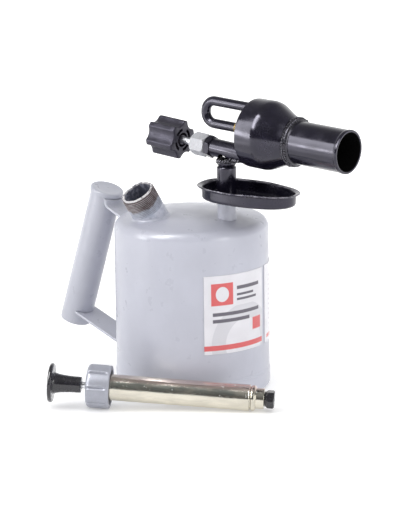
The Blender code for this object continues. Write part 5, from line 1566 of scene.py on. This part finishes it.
def toward(azimuth, elevation):
    """The direction from the lamp to an azimuth and elevation in degrees."""
    a, e = math.radians(azimuth), math.radians(elevation)
    return Vector((math.sin(a) * math.cos(e), -math.cos(a) * math.cos(e), math.sin(e)))


def add_softbox(name, azimuth, elevation, size, power, mirrored_only=False):
    light = bpy.data.lights.new(name, "AREA")
    light.shape = "RECTANGLE"
    light.size, light.size_y = size
    light.energy = power
    lamp = bpy.data.objects.new(name, light)
    lamp.visible_diffuse = not mirrored_only
    bpy.context.scene.collection.objects.link(lamp)
    back, aim, distance = toward(azimuth, elevation), Vector((0.0, 0.0, 0.10)), 1.6
    lamp.location = aim + back * distance
    lamp.rotation_euler = back.to_track_quat("Z", "Y").to_euler()


def add_camera():
    azimuth, elevation, roll, distance = 38.01, 13.2, math.radians(-0.71), 2.49525
    back = toward(azimuth, elevation)
    level = toward(azimuth + 90.0, 0.0)
    upright = back.cross(level)
    right = level * math.cos(roll) + upright * math.sin(roll)
    up = upright * math.cos(roll) - level * math.sin(roll)
    aim = Vector((0.0, 0.0, 0.110)) + right * 0.00963 - up * 0.01585
    camera = bpy.data.cameras.new("camera")
    camera.sensor_width = 36.0
    camera.lens = 245.29
    camera.clip_start, camera.clip_end = 0.1, 100.0
    holder = bpy.data.objects.new("camera", camera)
    bpy.context.scene.collection.objects.link(holder)
    turn = Matrix((right, up, back)).transposed().to_4x4()
    holder.matrix_world = Matrix.Translation(aim + back * distance) @ turn
    bpy.context.scene.camera = holder


# Operators

def settings(context):
    scene = context.scene
    return scene.blowlamp_sizes, scene.blowlamp_colours


class BLOWLAMP_OT_stage(Operator):
    """Set up the camera, the floor, the background and the four lights"""
    bl_idname = "blowlamp.stage"
    bl_label = "Studio"

    def execute(self, context):
        colours = settings(context)[1]
        add_camera()
        build_floor(colours)
        build_world()
        add_softbox("left softbox", -40.0, 20.0, (0.52, 1.10), 10.4)
        add_softbox("right softbox", 86.0, 10.0, (0.52, 1.10), 9.4)
        add_softbox("low box", -38.0, 4.0, (0.50, 0.30), 3.4, mirrored_only=True)
        add_softbox("front strip", -16.0, 48.0, (0.48, 1.30), 31.0, mirrored_only=True)
        context.scene.view_settings.view_transform = "Standard"
        return {"FINISHED"}


class BLOWLAMP_OT_tank(Operator):
    """Build the tank, its bottom cup and the riser's boss on the dome"""
    bl_idname = "blowlamp.tank"
    bl_label = "Tank"

    def execute(self, context):
        build_tank(*settings(context))
        build_socket(*settings(context))
        return {"FINISHED"}


class BLOWLAMP_OT_films(Operator):
    """Wrap the two printed films round the tank"""
    bl_idname = "blowlamp.films"
    bl_label = "Printed films"

    def execute(self, context):
        build_labels(*settings(context))
        return {"FINISHED"}


class BLOWLAMP_OT_neck(Operator):
    """Build the threaded filler neck and its weld"""
    bl_idname = "blowlamp.neck"
    bl_label = "Filler neck"

    def execute(self, context):
        build_neck(*settings(context))
        return {"FINISHED"}


class BLOWLAMP_OT_handle(Operator):
    """Build the handle tube, its cap, the two straps and their welds"""
    bl_idname = "blowlamp.handle"
    bl_label = "Handle"

    def execute(self, context):
        build_handle(*settings(context))
        return {"FINISHED"}


class BLOWLAMP_OT_pan(Operator):
    """Build the egg-shaped priming pan"""
    bl_idname = "blowlamp.pan"
    bl_label = "Priming pan"

    def execute(self, context):
        build_pan(*settings(context))
        return {"FINISHED"}


class BLOWLAMP_OT_riser(Operator):
    """Build the riser and its collar nut"""
    bl_idname = "blowlamp.riser"
    bl_label = "Riser"

    def execute(self, context):
        build_riser(*settings(context))
        return {"FINISHED"}


class BLOWLAMP_OT_burner(Operator):
    """Build the bell, the mouth tube, the weld between them and the vaporiser pipe"""
    bl_idname = "blowlamp.burner"
    bl_label = "Burner"

    def execute(self, context):
        build_bell(*settings(context))
        build_flame_tube(*settings(context))
        build_pipe(*settings(context))
        return {"FINISHED"}


class BLOWLAMP_OT_valve(Operator):
    """Build the valve's tube, its gland nut and the star knob"""
    bl_idname = "blowlamp.valve"
    bl_label = "Valve and knob"

    def execute(self, context):
        build_valve(*settings(context))
        build_knob(*settings(context))
        return {"FINISHED"}


class BLOWLAMP_OT_pump(Operator):
    """Build the hand pump's ring nut, barrel, end and plunger knob"""
    bl_idname = "blowlamp.pump"
    bl_label = "Hand pump"

    def execute(self, context):
        build_ring_nut(*settings(context))
        build_barrel(*settings(context))
        build_plunger(*settings(context))
        return {"FINISHED"}


class BLOWLAMP_OT_inner(Operator):
    """Finish the spindle, the jet and the pieces inside the valve, tank and pump"""
    bl_idname = "blowlamp.inner"
    bl_label = "Inner parts"

    def execute(self, context):
        build_inner_parts(settings(context)[1])
        return {"FINISHED"}


STEPS = (BLOWLAMP_OT_stage, BLOWLAMP_OT_tank, BLOWLAMP_OT_films, BLOWLAMP_OT_neck,
         BLOWLAMP_OT_handle, BLOWLAMP_OT_pan, BLOWLAMP_OT_riser, BLOWLAMP_OT_burner,
         BLOWLAMP_OT_valve, BLOWLAMP_OT_pump, BLOWLAMP_OT_inner)


class BLOWLAMP_PT_panel(Panel):
    """Lists the blowlamp's build steps"""
    bl_idname = "BLOWLAMP_PT_panel"
    bl_label = "Petrol blowlamp"
    bl_space_type = "VIEW_3D"
    bl_region_type = "UI"
    bl_category = "Blowlamp"

    def draw(self, context):
        for step in STEPS:
            self.layout.operator(step.bl_idname)


CLASSES = (BlowlampSizes, BlowlampColours) + STEPS + (BLOWLAMP_PT_panel,)


def register():
    for item in CLASSES:
        bpy.utils.register_class(item)
    bpy.types.Scene.blowlamp_sizes = PointerProperty(type=BlowlampSizes)
    bpy.types.Scene.blowlamp_colours = PointerProperty(type=BlowlampColours)


def unregister():
    del bpy.types.Scene.blowlamp_colours
    del bpy.types.Scene.blowlamp_sizes
    for item in reversed(CLASSES):
        bpy.utils.unregister_class(item)


def main():
    register()
    bpy.ops.blowlamp.stage()
    bpy.ops.blowlamp.tank()
    bpy.ops.blowlamp.films()
    bpy.ops.blowlamp.neck()
    bpy.ops.blowlamp.handle()
    bpy.ops.blowlamp.pan()
    bpy.ops.blowlamp.riser()
    bpy.ops.blowlamp.burner()
    bpy.ops.blowlamp.valve()
    bpy.ops.blowlamp.pump()
    bpy.ops.blowlamp.inner()


if __name__ == "__main__":
    main()
